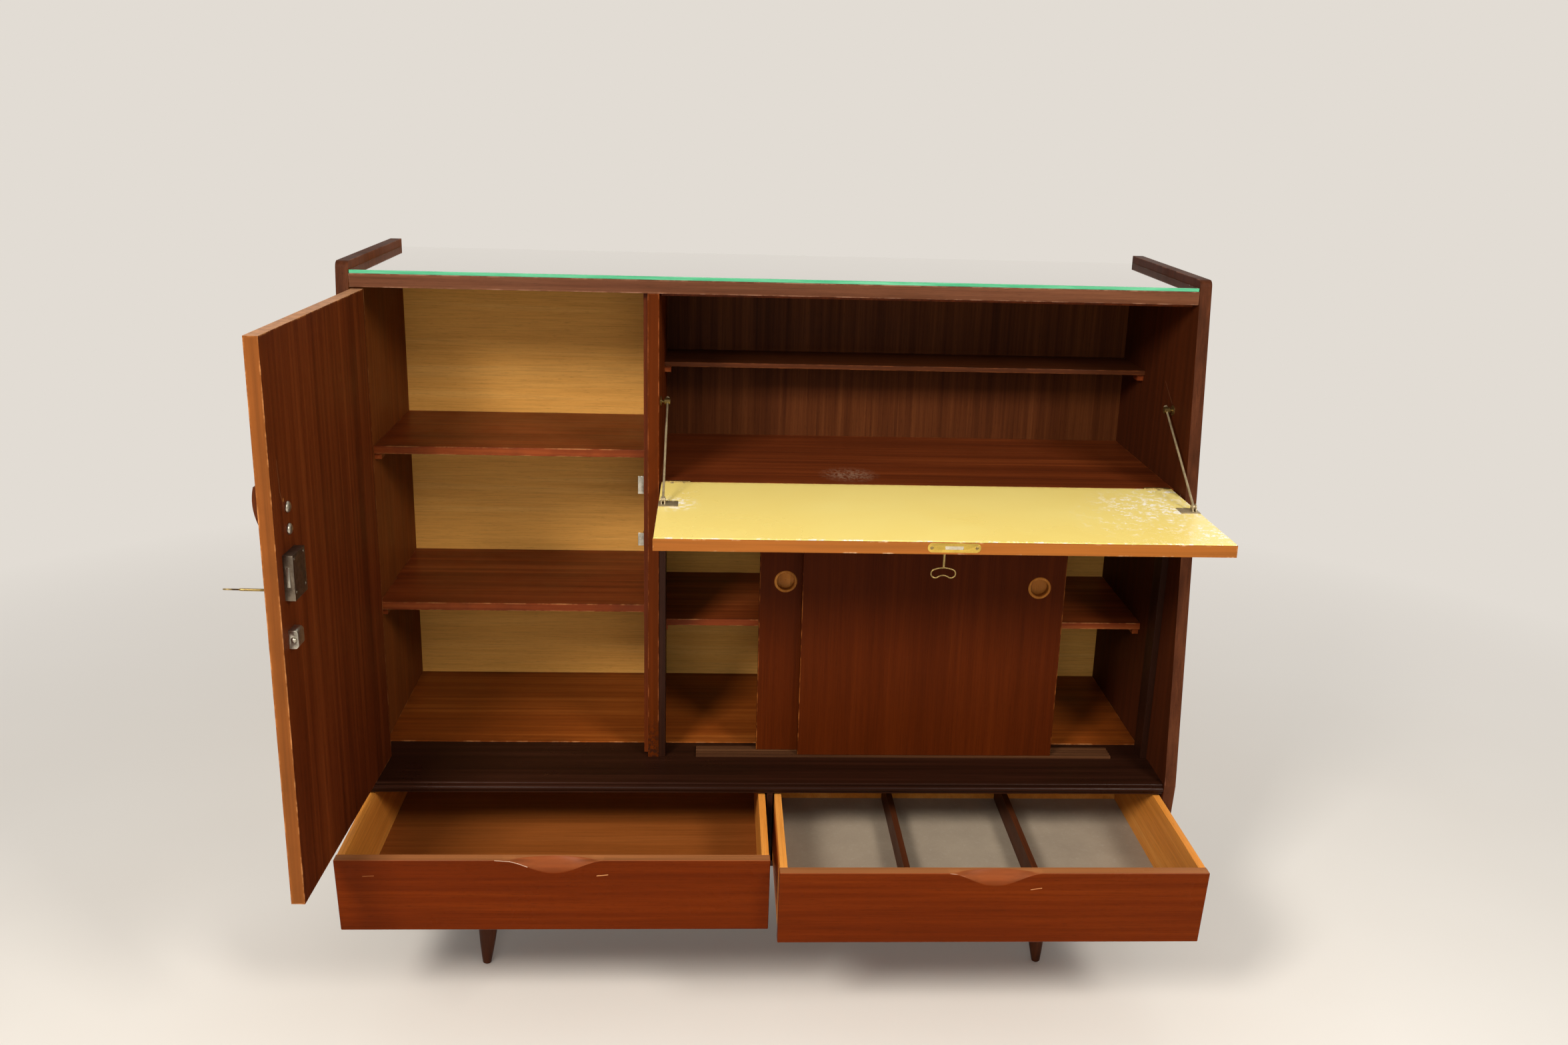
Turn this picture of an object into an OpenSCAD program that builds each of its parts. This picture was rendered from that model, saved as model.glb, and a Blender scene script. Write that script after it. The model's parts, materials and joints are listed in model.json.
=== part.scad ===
// Highboard on four turned legs: a hinged door over shelves on the left, a bar with a drop flap on the
// right, two sliding doors below it and two drawers under a moulded ledge.
// At rest the door, the flap, the sliding doors and the drawers stand open.
// X runs to the right, Y to the back and Z up. Lengths are in millimetres.

/* [Carcass] */
// Width over the two sides
carcass_w = 1500; // [1300:10:1700]
// Thickness of each side
side_t = 21; // [18:0.5:26]
// Depth of the sides behind the plane of the closed door
carcass_d = 412; // [380:2:460]
// How far the knee of each side stands in front of the door plane
knee_out = 111; // [95:1:130]
// How far the foot of each side stands in front of the door plane
foot_out = 91; // [75:1:94]
// How far the top corner of each side lies behind the door plane
brow_in = 2; // [0:0.5:6]
// Radius on the top front corner of each side
brow_r = 12; // [6:1:14]
// How far the sides rise above the glass
side_rise = 14; // [6:1:30]
// Thickness of the bottom board
bottom_t = 12; // [9:0.5:18]
// Height of the drawer bay
bay_h = 148; // [120:1:190]
// Thickness of the base over the drawers
base_t = 20; // [18:0.5:26]
// Height of the sliding door compartment
lower_h = 512; // [460:2:600]
// Thickness of the bar floor
bar_floor_t = 21; // [18:0.5:26]
// Height of the bar
bar_h = 338; // [310:2:400]
// Thickness of the top board
top_t = 23; // [18:0.5:30]
// Thickness of the glass on the top board
glass_t = 6; // [4:0.5:10]
// Thickness of the upright divider
divider_t = 20; // [16:0.5:26]
// Middle of the divider, from the middle of the carcass
divider_x = -217; // [-260:1:-180]
// Thickness of the back panels
back_t = 5; // [3:0.5:8]
// How far the back panels lie inside the back edges of the sides
back_in = 5; // [2:0.5:10]
// Depth of the front rail in the base
rail_d = 64; // [50:1:90]
// How far the front rail lies below the base panel
rail_step = 1.5; // [0.5:0.5:3]
// Radius of the bead along the ledge
bead_r = 5; // [3:0.5:6]

/* [Shelves] */
// Thickness of the shelves behind the door
shelf_t = 15; // [10:0.5:20]
// Top of the upper shelf above the base
upper_shelf_h = 572; // [480:2:640]
// Front of the upper shelf behind the door plane
upper_shelf_y = 98; // [60:1:160]
// Top of the lower shelf above the base
lower_shelf_h = 278; // [200:2:360]
// Front of the lower shelf behind the door plane
lower_shelf_y = 75; // [60:1:160]
// Thickness of the bar shelf
bar_shelf_t = 9; // [6:0.5:14]
// Top of the bar shelf above the bar floor
bar_shelf_h = 175; // [170:1:230]
// Front of the bar shelf behind the door plane
bar_shelf_y = 255; // [230:1:300]
// Thickness of the shelf behind the sliding doors
cabinet_shelf_t = 13; // [10:0.5:20]
// Top of that shelf above the base
cabinet_shelf_h = 232; // [160:2:320]
// Front of that shelf behind the door plane
cabinet_shelf_y = 122; // [90:1:180]
// Side of the small blocks that carry the shelves
support_s = 12; // [8:1:18]

/* [Door] */
// Thickness of the door
door_t = 21; // [18:0.5:24]
// Gap beside the door at each upright edge
door_gap = 1.5; // [1:0.1:2.5]
// Gap above and below the door, and above the closed flap
door_lift = 2; // [1:0.5:4]
// Angle at which the open door stands
door_open = 92; // [91:0.5:95]
// Clearance between the open door and the knee of the side
knee_clear = 0.4; // [0.3:0.1:1]
// Length of each door hinge
door_hinge_h = 60; // [40:2:80]
// Middle of the outer hinges from the ends of the door
door_hinge_in = 110; // [80:5:160]
// Width of the stop batten on the divider
stop_w = 8; // [6:0.5:10]
// Depth of the stop battens
stop_d = 19; // [14:0.5:24]

/* [Locks and handle] */
// Middle of the door bolt above the base
door_bolt_h = 519; // [480:1:560]
// Height of the door lock case
lock_h = 68; // [60:1:80]
// Width of the door lock case
lock_w = 52; // [44:1:60]
// Thickness of the door lock case
lock_t = 15; // [13:0.5:18]
// Distance of the lock case from the free edge of the door
lock_in = 22; // [20:0.5:26]
// Throw of the door bolt
door_throw = 13; // [10:0.5:13]
// Middle of the ball catch above the base
catch_h = 424; // [380:1:450]
// Length of the ball catch case
catch_l = 28; // [24:1:34]
// Radius of the catch ball
ball_r = 4.3; // [3.5:0.1:4.5]
// How far the catch ball stands out of its case
ball_out = 3.5; // [2:0.1:3.5]
// Middle of the handle screws above the middle of the lock case
handle_h = 80; // [74:1:110]
// Distance between the two handle screws
handle_pitch = 33; // [28:1:40]
// Length of the handle grip
handle_l = 84; // [76:1:100]
// How far the handle stands out
handle_out = 26; // [20:1:32]
// Width of the key bows
bow_w = 42; // [36:1:48]
// Thickness of the key bows
bow_t = 2.4; // [2:0.1:3.2]
// How far the door key stands out
door_key_out = 74; // [60:1:80]
// Tilt of the door key's bow out of the level, with the bolt drawn back
door_key_tilt = 20; // [0:1:30]
// How far the flap key stands out
flap_key_out = 47; // [40:1:60]
// Middle of the flap lock, from the middle of the carcass
flap_lock_x = 271; // [200:1:340]
// Throw of the flap bolt
flap_throw = 8; // [5:0.5:9]

/* [Flap] */
// Thickness of the flap with its laminate
flap_t = 21; // [20:0.5:22]
// Thickness of the laminate on the inside of the flap
laminate_t = 1; // [0.6:0.1:1.6]
// Gap at each end of the flap
flap_gap = 3; // [1.5:0.5:5]
// Length of each flap hinge
flap_hinge_l = 46; // [36:2:60]
// Distance from the flap hinge axis to both pivots of a stay
stay_r = 145; // [130:1:160]
// Angle by which the upper pivot leans back from upright
stay_lean = 20; // [15:1:26]
// Height of the bracket pins above the laminate
stay_rise = 8; // [7:0.5:10]
// Distance from the uprights to the stay rods
stay_inset = 12; // [11:0.5:16]
// Diameter of the stay rods
stay_d = 4; // [3.4:0.1:4]

/* [Sliding doors] */
// Thickness of each sliding door
slider_t = 16; // [13:0.5:18]
// Width of each sliding door
slider_w = 486; // [470:1:520]
// Front of the front sliding door behind the door plane
slider_in = 2.5; // [1:0.5:5]
// Gap between the two sliding doors
slider_gap = 5.5; // [4:0.5:8]
// Opening of the rear sliding door from the left jamb
rear_slid = 172; // [0:1:200]
// Opening of the front sliding door from the right jamb
front_slid = 176; // [0:1:200]
// Width of each jamb
jamb_w = 12; // [10:0.5:16]
// Distance from the jambs to the ends of the tracks
track_in = 58; // [30:1:80]
// Height of each track
track_h = 5.5; // [4.5:0.5:8]
// Diameter of the round pulls
pull_d = 42; // [34:1:50]
// Middle of each pull from the edge of its door
pull_in = 48; // [36:1:60]
// Middle of the pulls above the base
pull_h = 345; // [280:1:380]

/* [Drawers] */
// Thickness of the drawer fronts
drawer_front_t = 19; // [16:0.5:22]
// Thickness of the drawer sides
drawer_side_t = 12.5; // [9:0.5:14]
// Thickness of the drawer bottoms
drawer_bottom_t = 5; // [3:0.5:8]
// Thickness of the partition between the drawers
partition_t = 11; // [8:0.5:16]
// Clearance between the closed drawers and the ledge above them
drawer_top_gap = 5; // [3:0.5:8]
// How far the left drawer stands open
left_drawn = 225; // [0:5:330]
// How far the right drawer stands open
right_drawn = 265; // [0:5:330]
// Width of the finger scoop in the left front
left_scoop_w = 170; // [120:5:200]
// Width of the finger scoop in the right front
right_scoop_w = 160; // [120:5:200]
// Depth of the finger scoops
scoop_d = 27; // [15:1:35]
// Width of the left cell in the right drawer
left_cell_w = 215; // [150:5:260]
// Width of the middle cell in the right drawer
middle_cell_w = 218; // [150:5:260]
// Height of the two dividers in the right drawer
cell_h = 48; // [30:1:60]
// Thickness of the felt in the right drawer
felt_t = 2; // [1:0.5:3]

/* [Legs] */
// Height of the legs
leg_h = 228; // [160:2:280]
// Diameter of each leg at the top
leg_top_d = 48; // [40:1:60]
// Diameter of each foot
leg_foot_d = 16; // [12:1:24]
// Outward splay of the legs
leg_splay = 3; // [0:0.5:5]
// Distance of the feet from the middle of the carcass
leg_x = 533; // [460:1:560]
// Distance of the front feet in front of the door plane
leg_front = 57; // [45:1:60]
// Distance of the back feet behind the door plane
leg_back = 345; // [280:1:350]

/* [Hidden] */
$fn = 64;

// Running clearance between pieces that move past each other, and the fit of a pin in its bore
gap = 0.3;
pin_fit = 0.05;
// Length by which a cutting shape runs past the piece that it cuts
past = 1;

// Heights of the boards
bay_z = leg_h + bottom_t;
base_z = bay_z + bay_h;
low_z = base_z + base_t;
floor_z = low_z + lower_h;
bar_z = floor_z + bar_floor_t;
ceiling_z = bar_z + bar_h;
glass_z = ceiling_z + top_t;
crown_z = glass_z + glass_t + side_rise;

// Faces of the carcass
half_w = carcass_w / 2;
inner_x = half_w - side_t;
back_y = carcass_d - back_in - back_t;
divider_left = divider_x - divider_t / 2;
divider_right = divider_x + divider_t / 2;
board_span = [-inner_x, inner_x];
bar_span = [divider_right, inner_x];
shelf_span = [-inner_x, divider_left];

// Door, closed: its edges, and its hinge pin in front of the hinge edge
door_x0 = -inner_x + door_gap;
door_x1 = divider_left - door_gap;
door_z0 = low_z + door_lift;
door_z1 = ceiling_z - door_lift;
pin_x = -inner_x + door_gap / 2;
pin_out = knee_out * abs(cos(door_open)) + knee_clear - door_gap / 2;
stop_y = door_t + gap;

// Flap, lying open: its hinge axis along the top of its back edge
flap_x0 = divider_right + flap_gap;
flap_x1 = inner_x - flap_gap;
hinge_y = flap_t;
flap_len = bar_h - door_lift;
flap_front = hinge_y - flap_len;
flap_z0 = bar_z - flap_t;
panel_z1 = bar_z - laminate_t;
laminate_in = 1;
seam = 1;

// Hinge sizes that the door and the flap share
leaf_t = 1.2;
leaf_fixed = [-gap / 2 - leaf_t, -gap / 2];
leaf_moving = [gap / 2, gap / 2 + leaf_t];
leaf_w = 19;
knuckle_r = 3;
flap_knuckle_r = 2.6;
hinge_pin_r = 1.3;
flap_hinge_in = 6;

// Stays: the pivots lie on one circle about the hinge, so the rod turns at half the flap's rate
stay_pin_angle = 180 - asin(stay_rise / stay_r);
stay_pivot_angle = 90 - stay_lean;
stay_pin = stay_r * [cos(stay_pin_angle), sin(stay_pin_angle)] + [hinge_y, bar_z];
stay_pivot = stay_r * [cos(stay_pivot_angle), sin(stay_pivot_angle)] + [hinge_y, bar_z];
stay_chord = 2 * stay_r * sin((stay_pin_angle - stay_pivot_angle) / 2);
stay_angle = (stay_pin_angle + stay_pivot_angle) / 2 - 90;
eye_r = 6;
eye_half = 5;
eye_bore_depth = 2.5;
base_pin_r = 2.5;

// Drawers and the partition, which share the slope of the lower side edges
front_in = 2;
front_z0 = bay_z + 1;
front_z1 = base_z - drawer_top_gap;
runner_w = 10;
runner_h = 4;
runner_in = 3;
box_z0 = bay_z + runner_h + gap;
box_back_in = 7;
box_y1 = back_y - box_back_in;
bottom_rise = 8;
box_bottom_z = box_z0 + bottom_rise;
box_floor_z = box_bottom_z + drawer_bottom_t;
box_side_in = 1.5;
box_back_t = 12;
front_gap = 1.5;
cell_t = 11;
left_front = [-inner_x + front_gap, -partition_t / 2 - front_gap];
right_front = [partition_t / 2 + front_gap, inner_x - front_gap];

// Sliding doors, their frame and tracks
rail_z = low_z - rail_step;
head_h = 22;
head_z = floor_z - head_h;
jamb_in = 3;
jamb_d = 42;
jamb_left = divider_right + jamb_w;
jamb_right = inner_x - jamb_w;
groove_w = 5.5;
groove_depth = 4;
tongue_w = 4.5;
slider_front_y = slider_in;
slider_rear_y = slider_in + slider_t + slider_gap;
rear_x = jamb_left + rear_slid;
front_x = jamb_right - front_slid - slider_w;
slider_z0 = rail_z + track_h + gap;
slider_z1 = head_z - track_h - gap;
pull_z = low_z + pull_h;
pull_back_t = 2;
pull_bore = slider_t - pull_back_t;
pull_rim = 2;
pull_bore_r = pull_d / 2 - pull_rim;

// Door lock, catch, strikers and handle, on the closed door
lock_x1 = door_x1 - lock_in;
bolt_z = low_z + door_bolt_h;
lock_drop = 1;
lock_z0 = bolt_z - lock_h / 2 - lock_drop;
bolt_h = 30;
bolt_t = 5;
bolt_y = door_t + 4;
bolt_l = door_throw + 17;
catch_z = low_z + catch_h;
catch_t = 14;
catch_w = 26;
ball_y = door_t + 7.5;
ball_x = lock_x1 + ball_out - ball_r;
striker_t = 1.2;
striker_y = door_t + 0.5;
striker_flange_t = 1.5;
ball_sweep_r = norm([ball_x - pin_x, ball_y + pin_out]) + ball_r;
striker_x = pin_x + ball_sweep_r + gap;
door_key_in = 52;
door_key_x = door_x1 - door_key_in;
door_key_rise = 5;
door_key_z = lock_z0 + door_key_rise;
key_depth = 10;
handle_in = 58;
handle_x = door_x1 - handle_in;
handle_z = lock_z0 + lock_h / 2 + handle_h;
handle_screw_r = 2;
handle_screw_in = 8;

// Flap lock
lock_plate = [85, 15.5, 1.5];
flap_bolt = [29, 15, 5.5];
flap_case = [64, 27, 12];
flap_lock_z = flap_z0 + flap_t / 2;
flap_key_side = 12;
flap_key_in = 19;
flap_key_depth = 2;
flap_key_x = flap_lock_x - flap_key_side;
flap_key_y = flap_front + flap_key_in;
strike_plate = [lock_plate[0] - 20, flap_bolt[2] + 8, striker_t];
strike_hole = [flap_bolt[0] + 2, flap_bolt[2] + 1.5, flap_throw + 2];

// Keys
key_shaft_r = 2;
key_hole_r = 3.2;
bow_loop_r = bow_w * 0.171;
bow_half = bow_w / 2 - bow_loop_r - bow_t / 2;
bow_arch_r = bow_w * 0.95;
bow_dent_r = bow_w / 3;
bow_arch_drop = sqrt(pow(bow_arch_r - bow_loop_r, 2) - pow(bow_half, 2));
bow_dent_drop = sqrt(pow(bow_dent_r + bow_loop_r, 2) - pow(bow_half, 2));

// Box of the whole object at rest, whose middle is the origin
door_reach = door_x1 - pin_x;
key_reach = door_key_x + bow_half * cos(door_key_tilt) - pin_x;
key_tip = pin_out - door_key_out + bow_loop_r + bow_t / 2;
bow_reach = (bow_loop_r + bow_t / 2) * norm([cos(door_open) * cos(door_key_tilt), sin(door_open)]);
bow_side = bow_t / 2 * sin(door_key_tilt) * abs(cos(door_open));
box_x0 = pin_x + key_reach * cos(door_open) + key_tip * sin(door_open) - bow_reach - bow_side;
door_front = -pin_out - door_reach * sin(door_open) + (pin_out + door_t) * cos(door_open);
drawer_front = front_face(front_z1) - max(left_drawn, right_drawn);
box_y0 = min(door_front, drawer_front, flap_front);
centre = [(box_x0 + half_w) / 2, (box_y0 + carcass_d) / 2];

// Front edge of the sides below the knee, and the drawer fronts that lie parallel to it
function lower_edge(z) = -foot_out - (knee_out - foot_out) * (z - leg_h) / (low_z - leg_h);
function front_face(z) = lower_edge(z) + front_in;
function front_back(z) = front_face(z) + drawer_front_t;

function arc(middle, r, from, to, steps) = [
    for (i = [0:steps])
        let (a = from + (to - from) * i / steps)
            middle + r * [cos(a), sin(a)]
];

// Range of a given width about a middle, and range of a given height below a level
function around(middle, w) = [middle - w / 2, middle + w / 2];
function below(level, h) = [level - h, level];

// Box between two corners, given as a range along each axis
module block(x, y, z)
    translate([x[0], y[0], z[0]])
        cube([x[1] - x[0], y[1] - y[0], z[1] - z[0]]);

// Outline in Y and Z drawn out along X
module along_x(x)
    translate([x[0], 0, 0])
        rotate([90, 0, 90])
            linear_extrude(x[1] - x[0])
                children();

// Round rod along X
module rod_x(x, y, z, r)
    translate([x[0], y, z])
        rotate([0, 90, 0])
            cylinder(r = r, h = x[1] - x[0]);

// Round rod along Y
module rod_y(x, y, z, r)
    translate([x, y[1], z])
        rotate([90, 0, 0])
            cylinder(r = r, h = y[1] - y[0]);

// Moves the design frame so that the origin is the middle of the object's box, on the floor
module placed()
    translate([-centre[0], -centre[1], 0])
        children();

// Turns the closed door and what it carries into the open position
module on_door()
    placed()
        translate([pin_x, -pin_out, 0])
            rotate([0, 0, -door_open])
                translate([-pin_x, pin_out, 0])
                    children();

function door_hinge_z() = [
    door_z0 + door_hinge_in - door_hinge_h / 2,
    (door_z0 + door_z1 - door_hinge_h) / 2,
    door_z1 - door_hinge_in - door_hinge_h / 2,
];

function flap_hinge_x() = [flap_x0 + flap_hinge_in, flap_x1 - flap_hinge_in - flap_hinge_l];

// One half of a butt hinge along Z: a leaf to +Y and its share of three knuckles
module hinge_half(h, r, leaf_x, w, moving) {
    third = h / 3;
    reach = r + gap;
    mine = moving ? [third + gap / 2] : [0, 2 * third + gap / 2];
    other = moving ? [-past, 2 * third - gap / 2] : [third - gap / 2];
    other_h = moving ? [third + past + gap / 2, third + past + gap / 2] : [third + gap];
    difference() {
        union() {
            block(leaf_x, [0, w], [0, h]);
            for (z = mine)
                translate([0, 0, z])
                    cylinder(r = r, h = third - (moving ? gap : gap / 2));
        }
        for (i = [0:len(other) - 1])
            translate([0, 0, other[i]])
                cylinder(r = reach, h = other_h[i]);
        if (moving)
            translate([0, 0, -past])
                cylinder(r = hinge_pin_r + pin_fit, h = h + 2 * past);
    }
    if (!moving)
        cylinder(r = hinge_pin_r, h = h);
}

module at_door_hinges()
    for (z = door_hinge_z())
        translate([pin_x, -pin_out, z])
            children();

module at_flap_hinges()
    for (x = flap_hinge_x())
        translate([x, hinge_y, bar_z])
            children();

// Flap hinge half, with Z of the hinge laid along X and its leaf hanging down
module flap_hinge_half(leaf_x, moving)
    rotate([0, 90, 0])
        rotate([0, 0, -90])
            hinge_half(flap_hinge_l, flap_knuckle_r, leaf_x, leaf_w, moving);

module side_outline() {
    slope = atan2(crown_z - low_z, knee_out + brow_in);
    brow_y = brow_in + brow_r * tan(slope / 2);
    polygon(concat(
        [[carcass_d, leg_h], [-foot_out, leg_h], [-knee_out, low_z]],
        arc([brow_y, crown_z - brow_r], brow_r, 90 + slope, 90, 8),
        [[carcass_d, crown_z]]
    ));
}

module side_left()
    color("#5a3228")
        placed()
            difference() {
                along_x([-half_w, -inner_x])
                    side_outline();
                at_door_hinges() {
                    block([leaf_fixed[0], past], [0, leaf_w], [0, door_hinge_h]);
                    translate([0, 0, -gap])
                        cylinder(r = knuckle_r + gap, h = door_hinge_h + 2 * gap);
                }
            }

module side_right()
    color("#5a3228")
        placed()
            along_x([inner_x, half_w])
                side_outline();

module top_board()
    color("#4a281e")
        placed()
            difference() {
                block(board_span, [0, back_y], [ceiling_z, glass_z]);
                at_flap_strike(strike_plate);
                at_flap_strike(strike_hole);
            }

// Block let into the underside of the top board over the bolt of the closed flap
module at_flap_strike(s)
    translate([flap_lock_x - s[0] / 2, hinge_y - (bar_z - flap_lock_z) - s[1] / 2, ceiling_z])
        cube(s);

module glass_top() {
    inset = 1;
    color("#5fbe8c", 0.7)
        placed()
            block([-inner_x + inset, inner_x - inset], [inset, back_y - inset], [glass_z, glass_z + glass_t]);
}

module divider()
    color("#6e2d14")
        placed()
            block([divider_left, divider_right], [0, back_y], [low_z, ceiling_z]);

module base_panel()
    color("#96501e")
        placed()
            block(board_span, [rail_d, back_y], [base_z, low_z]);

// The rail steps up to the base panel's level where the divider stands on it
module base_rail()
    color("#3c2320")
        placed() {
            block(board_span, [0, rail_d], [base_z, rail_z]);
            block([divider_left, divider_right], [0, rail_d], [base_z, low_z]);
        }

module ledge_moulding() {
    lip_y = front_face(low_z) + bead_r;
    bead_rise = 4.5;
    bead_z = base_z + bead_r + bead_rise;
    groove = 2;
    round_r = 1.5;
    color("#32201c")
        placed()
            along_x(board_span)
                polygon(concat(
                    [[0, base_z], [lip_y, base_z]],
                    arc([lip_y, bead_z], bead_r, 270, 90, 12),
                    [[lip_y + groove, bead_z + bead_r], [lip_y + groove, bead_z + bead_r + groove]],
                    [[lip_y, bead_z + bead_r + groove]],
                    arc([lip_y + round_r, low_z - round_r], round_r, 180, 90, 4),
                    [[0, low_z]]
                ));
}

module bar_floor()
    color("#78371a")
        placed()
            difference() {
                block(bar_span, [hinge_y + seam / 2, back_y], [floor_z, bar_z]);
                at_flap_hinges() {
                    block([0, flap_hinge_l], [-past, leaf_moving[1]], [-leaf_w, past]);
                    rod_x([-gap, flap_hinge_l + gap], 0, 0, flap_knuckle_r + gap);
                }
            }

module back_panels()
    color("#967337")
        placed() {
            block(board_span, [back_y, back_y + back_t], [leg_h, floor_z]);
            block([-inner_x, divider_x], [back_y, back_y + back_t], [leg_h, glass_z]);
        }

module bar_back()
    color("#3c2319")
        placed()
            block([divider_x, inner_x], [back_y, back_y + back_t], [floor_z, glass_z]);

module shelf_upper()
    color("#6e3214")
        placed()
            block(shelf_span, [upper_shelf_y, back_y], below(low_z + upper_shelf_h, shelf_t));

module shelf_lower()
    color("#6e3214")
        placed()
            block(shelf_span, [lower_shelf_y, back_y], below(low_z + lower_shelf_h, shelf_t));

module bar_shelf()
    color("#5f2d19")
        placed()
            block(bar_span, [bar_shelf_y, back_y], below(bar_z + bar_shelf_h, bar_shelf_t));

module cabinet_shelf()
    color("#6e3214")
        placed()
            block(bar_span, [cabinet_shelf_y, back_y], below(low_z + cabinet_shelf_h, cabinet_shelf_t));

// Four blocks under a shelf, one near each corner
module four_supports(span, y0, z_top) {
    block_l = 26;
    for (x = [span[0], span[1] - support_s], y = [y0, back_y - 2 * block_l])
        block([x, x + support_s], [y, y + block_l], [z_top - support_s, z_top]);
}

module shelf_supports() {
    set_back = 8;
    color("#6e3c1e")
        placed() {
            four_supports(shelf_span, upper_shelf_y + set_back, low_z + upper_shelf_h - shelf_t);
            four_supports(shelf_span, lower_shelf_y + set_back, low_z + lower_shelf_h - shelf_t);
            four_supports(bar_span, bar_shelf_y + set_back, bar_z + bar_shelf_h - bar_shelf_t);
            four_supports(bar_span, cabinet_shelf_y + set_back, low_z + cabinet_shelf_h - cabinet_shelf_t);
        }
}

module stop_battens() {
    flap_stop_h = 6;
    color("#5a2814")
        placed() {
            block([divider_left - stop_w, divider_left], [stop_y, stop_y + stop_d], [low_z, ceiling_z]);
            block([flap_x0, flap_x1], [hinge_y + gap, hinge_y + gap + stop_d],
                  [ceiling_z - flap_stop_h, ceiling_z]);
        }
}

// Two jambs and the head rail between the sliding doors and the bar floor
module slider_frame()
    color("#4b230f")
        placed() {
            for (x = [divider_right, jamb_right])
                block([x, x + jamb_w], [jamb_in, jamb_in + jamb_d], [rail_z, floor_z - seam]);
            along_x(bar_span)
                polygon([
                    [jamb_in, head_z], [jamb_in + jamb_d, head_z], [jamb_in + jamb_d, floor_z],
                    [hinge_y + seam / 2, floor_z], [hinge_y + seam / 2, floor_z - seam],
                    [jamb_in, floor_z - seam],
                ]);
        }

// Grooved strip in Y and Z under or over a sliding door, open towards the door
module track_outline()
    difference() {
        square([slider_t, track_h]);
        translate([(slider_t - groove_w) / 2, track_h - groove_depth])
            square([groove_w, groove_depth + past]);
    }

module sliding_tracks()
    color("#c3aa78")
        placed()
            for (y = [slider_front_y, slider_rear_y]) {
                along_x([jamb_left + track_in, jamb_right - track_in])
                    translate([y, rail_z])
                        track_outline();
                along_x([jamb_left + track_in, jamb_right - track_in])
                    translate([y, head_z])
                        mirror([0, 1])
                            track_outline();
            }

module bottom_board()
    color("#4b2a20")
        placed()
            difference() {
                along_x(board_span)
                    polygon([
                        [front_face(leg_h), leg_h], [back_y, leg_h],
                        [back_y, bay_z], [front_face(bay_z), bay_z],
                    ]);
                at_legs()
                    leg_spigot(leg_h);
            }

module drawer_partition()
    color("#2d1914")
        placed()
            along_x([-partition_t / 2, partition_t / 2])
                polygon([
                    [front_face(bay_z), bay_z], [back_y, bay_z],
                    [back_y, base_z], [front_face(base_z), base_z],
                ]);

// Middles of the drawer sides, where the runners lie
function side_middles(front) = [
    front[0] + box_side_in + drawer_side_t / 2,
    front[1] - box_side_in - drawer_side_t / 2,
];

module drawer_runners()
    color("#b98c50")
        placed()
            for (x = concat(side_middles(left_front), side_middles(right_front)))
                block(around(x, runner_w), [front_back(front_z0) + runner_in, back_y],
                      [bay_z, bay_z + runner_h]);

// Turned leg about its own axis, down from its top at z = 0
module leg_shape(h) {
    top_r = leg_top_d / 2;
    foot_r = leg_foot_d / 2;
    fullness = 2.4;
    tip = 2;
    stub = 4;
    steps = 14;
    rotate_extrude()
        polygon(concat(
            [[0, -h], [foot_r - tip, -h]],
            [for (i = [0:steps])
                let (t = i / steps, rise = pow(1 - t, fullness))
                    [top_r - (top_r - foot_r) * rise, -h + tip + (h - tip) * t]],
            [[top_r, stub], [0, stub]]
        ));
}

// Leans each leg out from the top, so that its foot stands at leg_x and the given depth
module at_legs()
    for (sx = [-1, 1], back = [0, 1]) {
        foot_y = back == 0 ? -leg_front : leg_back;
        sy = back == 0 ? -1 : 1;
        lean = leg_h * tan(leg_splay);
        translate([sx * (leg_x - lean), foot_y - sy * lean, leg_h])
            rotate([sy * leg_splay, -sx * leg_splay, 0])
                children();
    }

module leg_spigot(z) {
    spigot_r = 8;
    translate([0, 0, -z])
        cylinder(r = spigot_r, h = z + bottom_t - 2);
}

module legs()
    color("#46261e")
        placed() {
            difference() {
                at_legs()
                    leg_shape(leg_h + past);
                block([-half_w, half_w], [-carcass_d, carcass_d], [leg_h, leg_h + base_z]);
                block([-half_w, half_w], [-carcass_d, carcass_d], [-leg_h, 0]);
            }
            at_legs()
                leg_spigot(leg_h / 4);
        }

module door_hinge_fixed()
    color("#a08c50")
        placed()
            at_door_hinges()
                hinge_half(door_hinge_h, knuckle_r, leaf_fixed, leaf_w, false);

// Angle plates on the stop batten, behind which the bolt and the ball catch
module striker_plates() {
    bolt_strike_rise = 7;
    color("#b4b0a0")
        placed()
            for (z = [around(bolt_z + bolt_strike_rise, bolt_h + 3), around(catch_z, catch_l - 4)]) {
                face = divider_left - stop_w;
                block([face - striker_t, face], [striker_y, stop_y + stop_d], z);
                block([striker_x, face], [striker_y, striker_y + striker_flange_t], z);
            }
}

module flap_hinge_fixed()
    color("#a08c50")
        placed()
            at_flap_hinges()
                flap_hinge_half(leaf_fixed, false);

module flap_strike()
    color("#b4b0a0")
        placed()
            difference() {
                at_flap_strike(strike_plate);
                translate([0, 0, -past])
                    at_flap_strike(strike_hole);
            }

// Sets a stay piece on the left or right upright of the bar: local X runs from it into the bar
module at_upright(i)
    if (i == 0)
        translate([divider_right, 0, 0])
            children();
    else
        translate([inner_x, 0, 0])
            mirror([1, 0, 0])
                children();

module stay_pivots() {
    plate_r = 9.5;
    plate_t = 1.5;
    color("#8c7846")
        placed()
            for (i = [0, 1])
                at_upright(i) {
                    rod_x([0, plate_t], stay_pivot[0], stay_pivot[1], plate_r);
                    rod_x([0, stay_inset - eye_half + eye_bore_depth - gap],
                          stay_pivot[0], stay_pivot[1], base_pin_r);
                }
}

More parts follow.
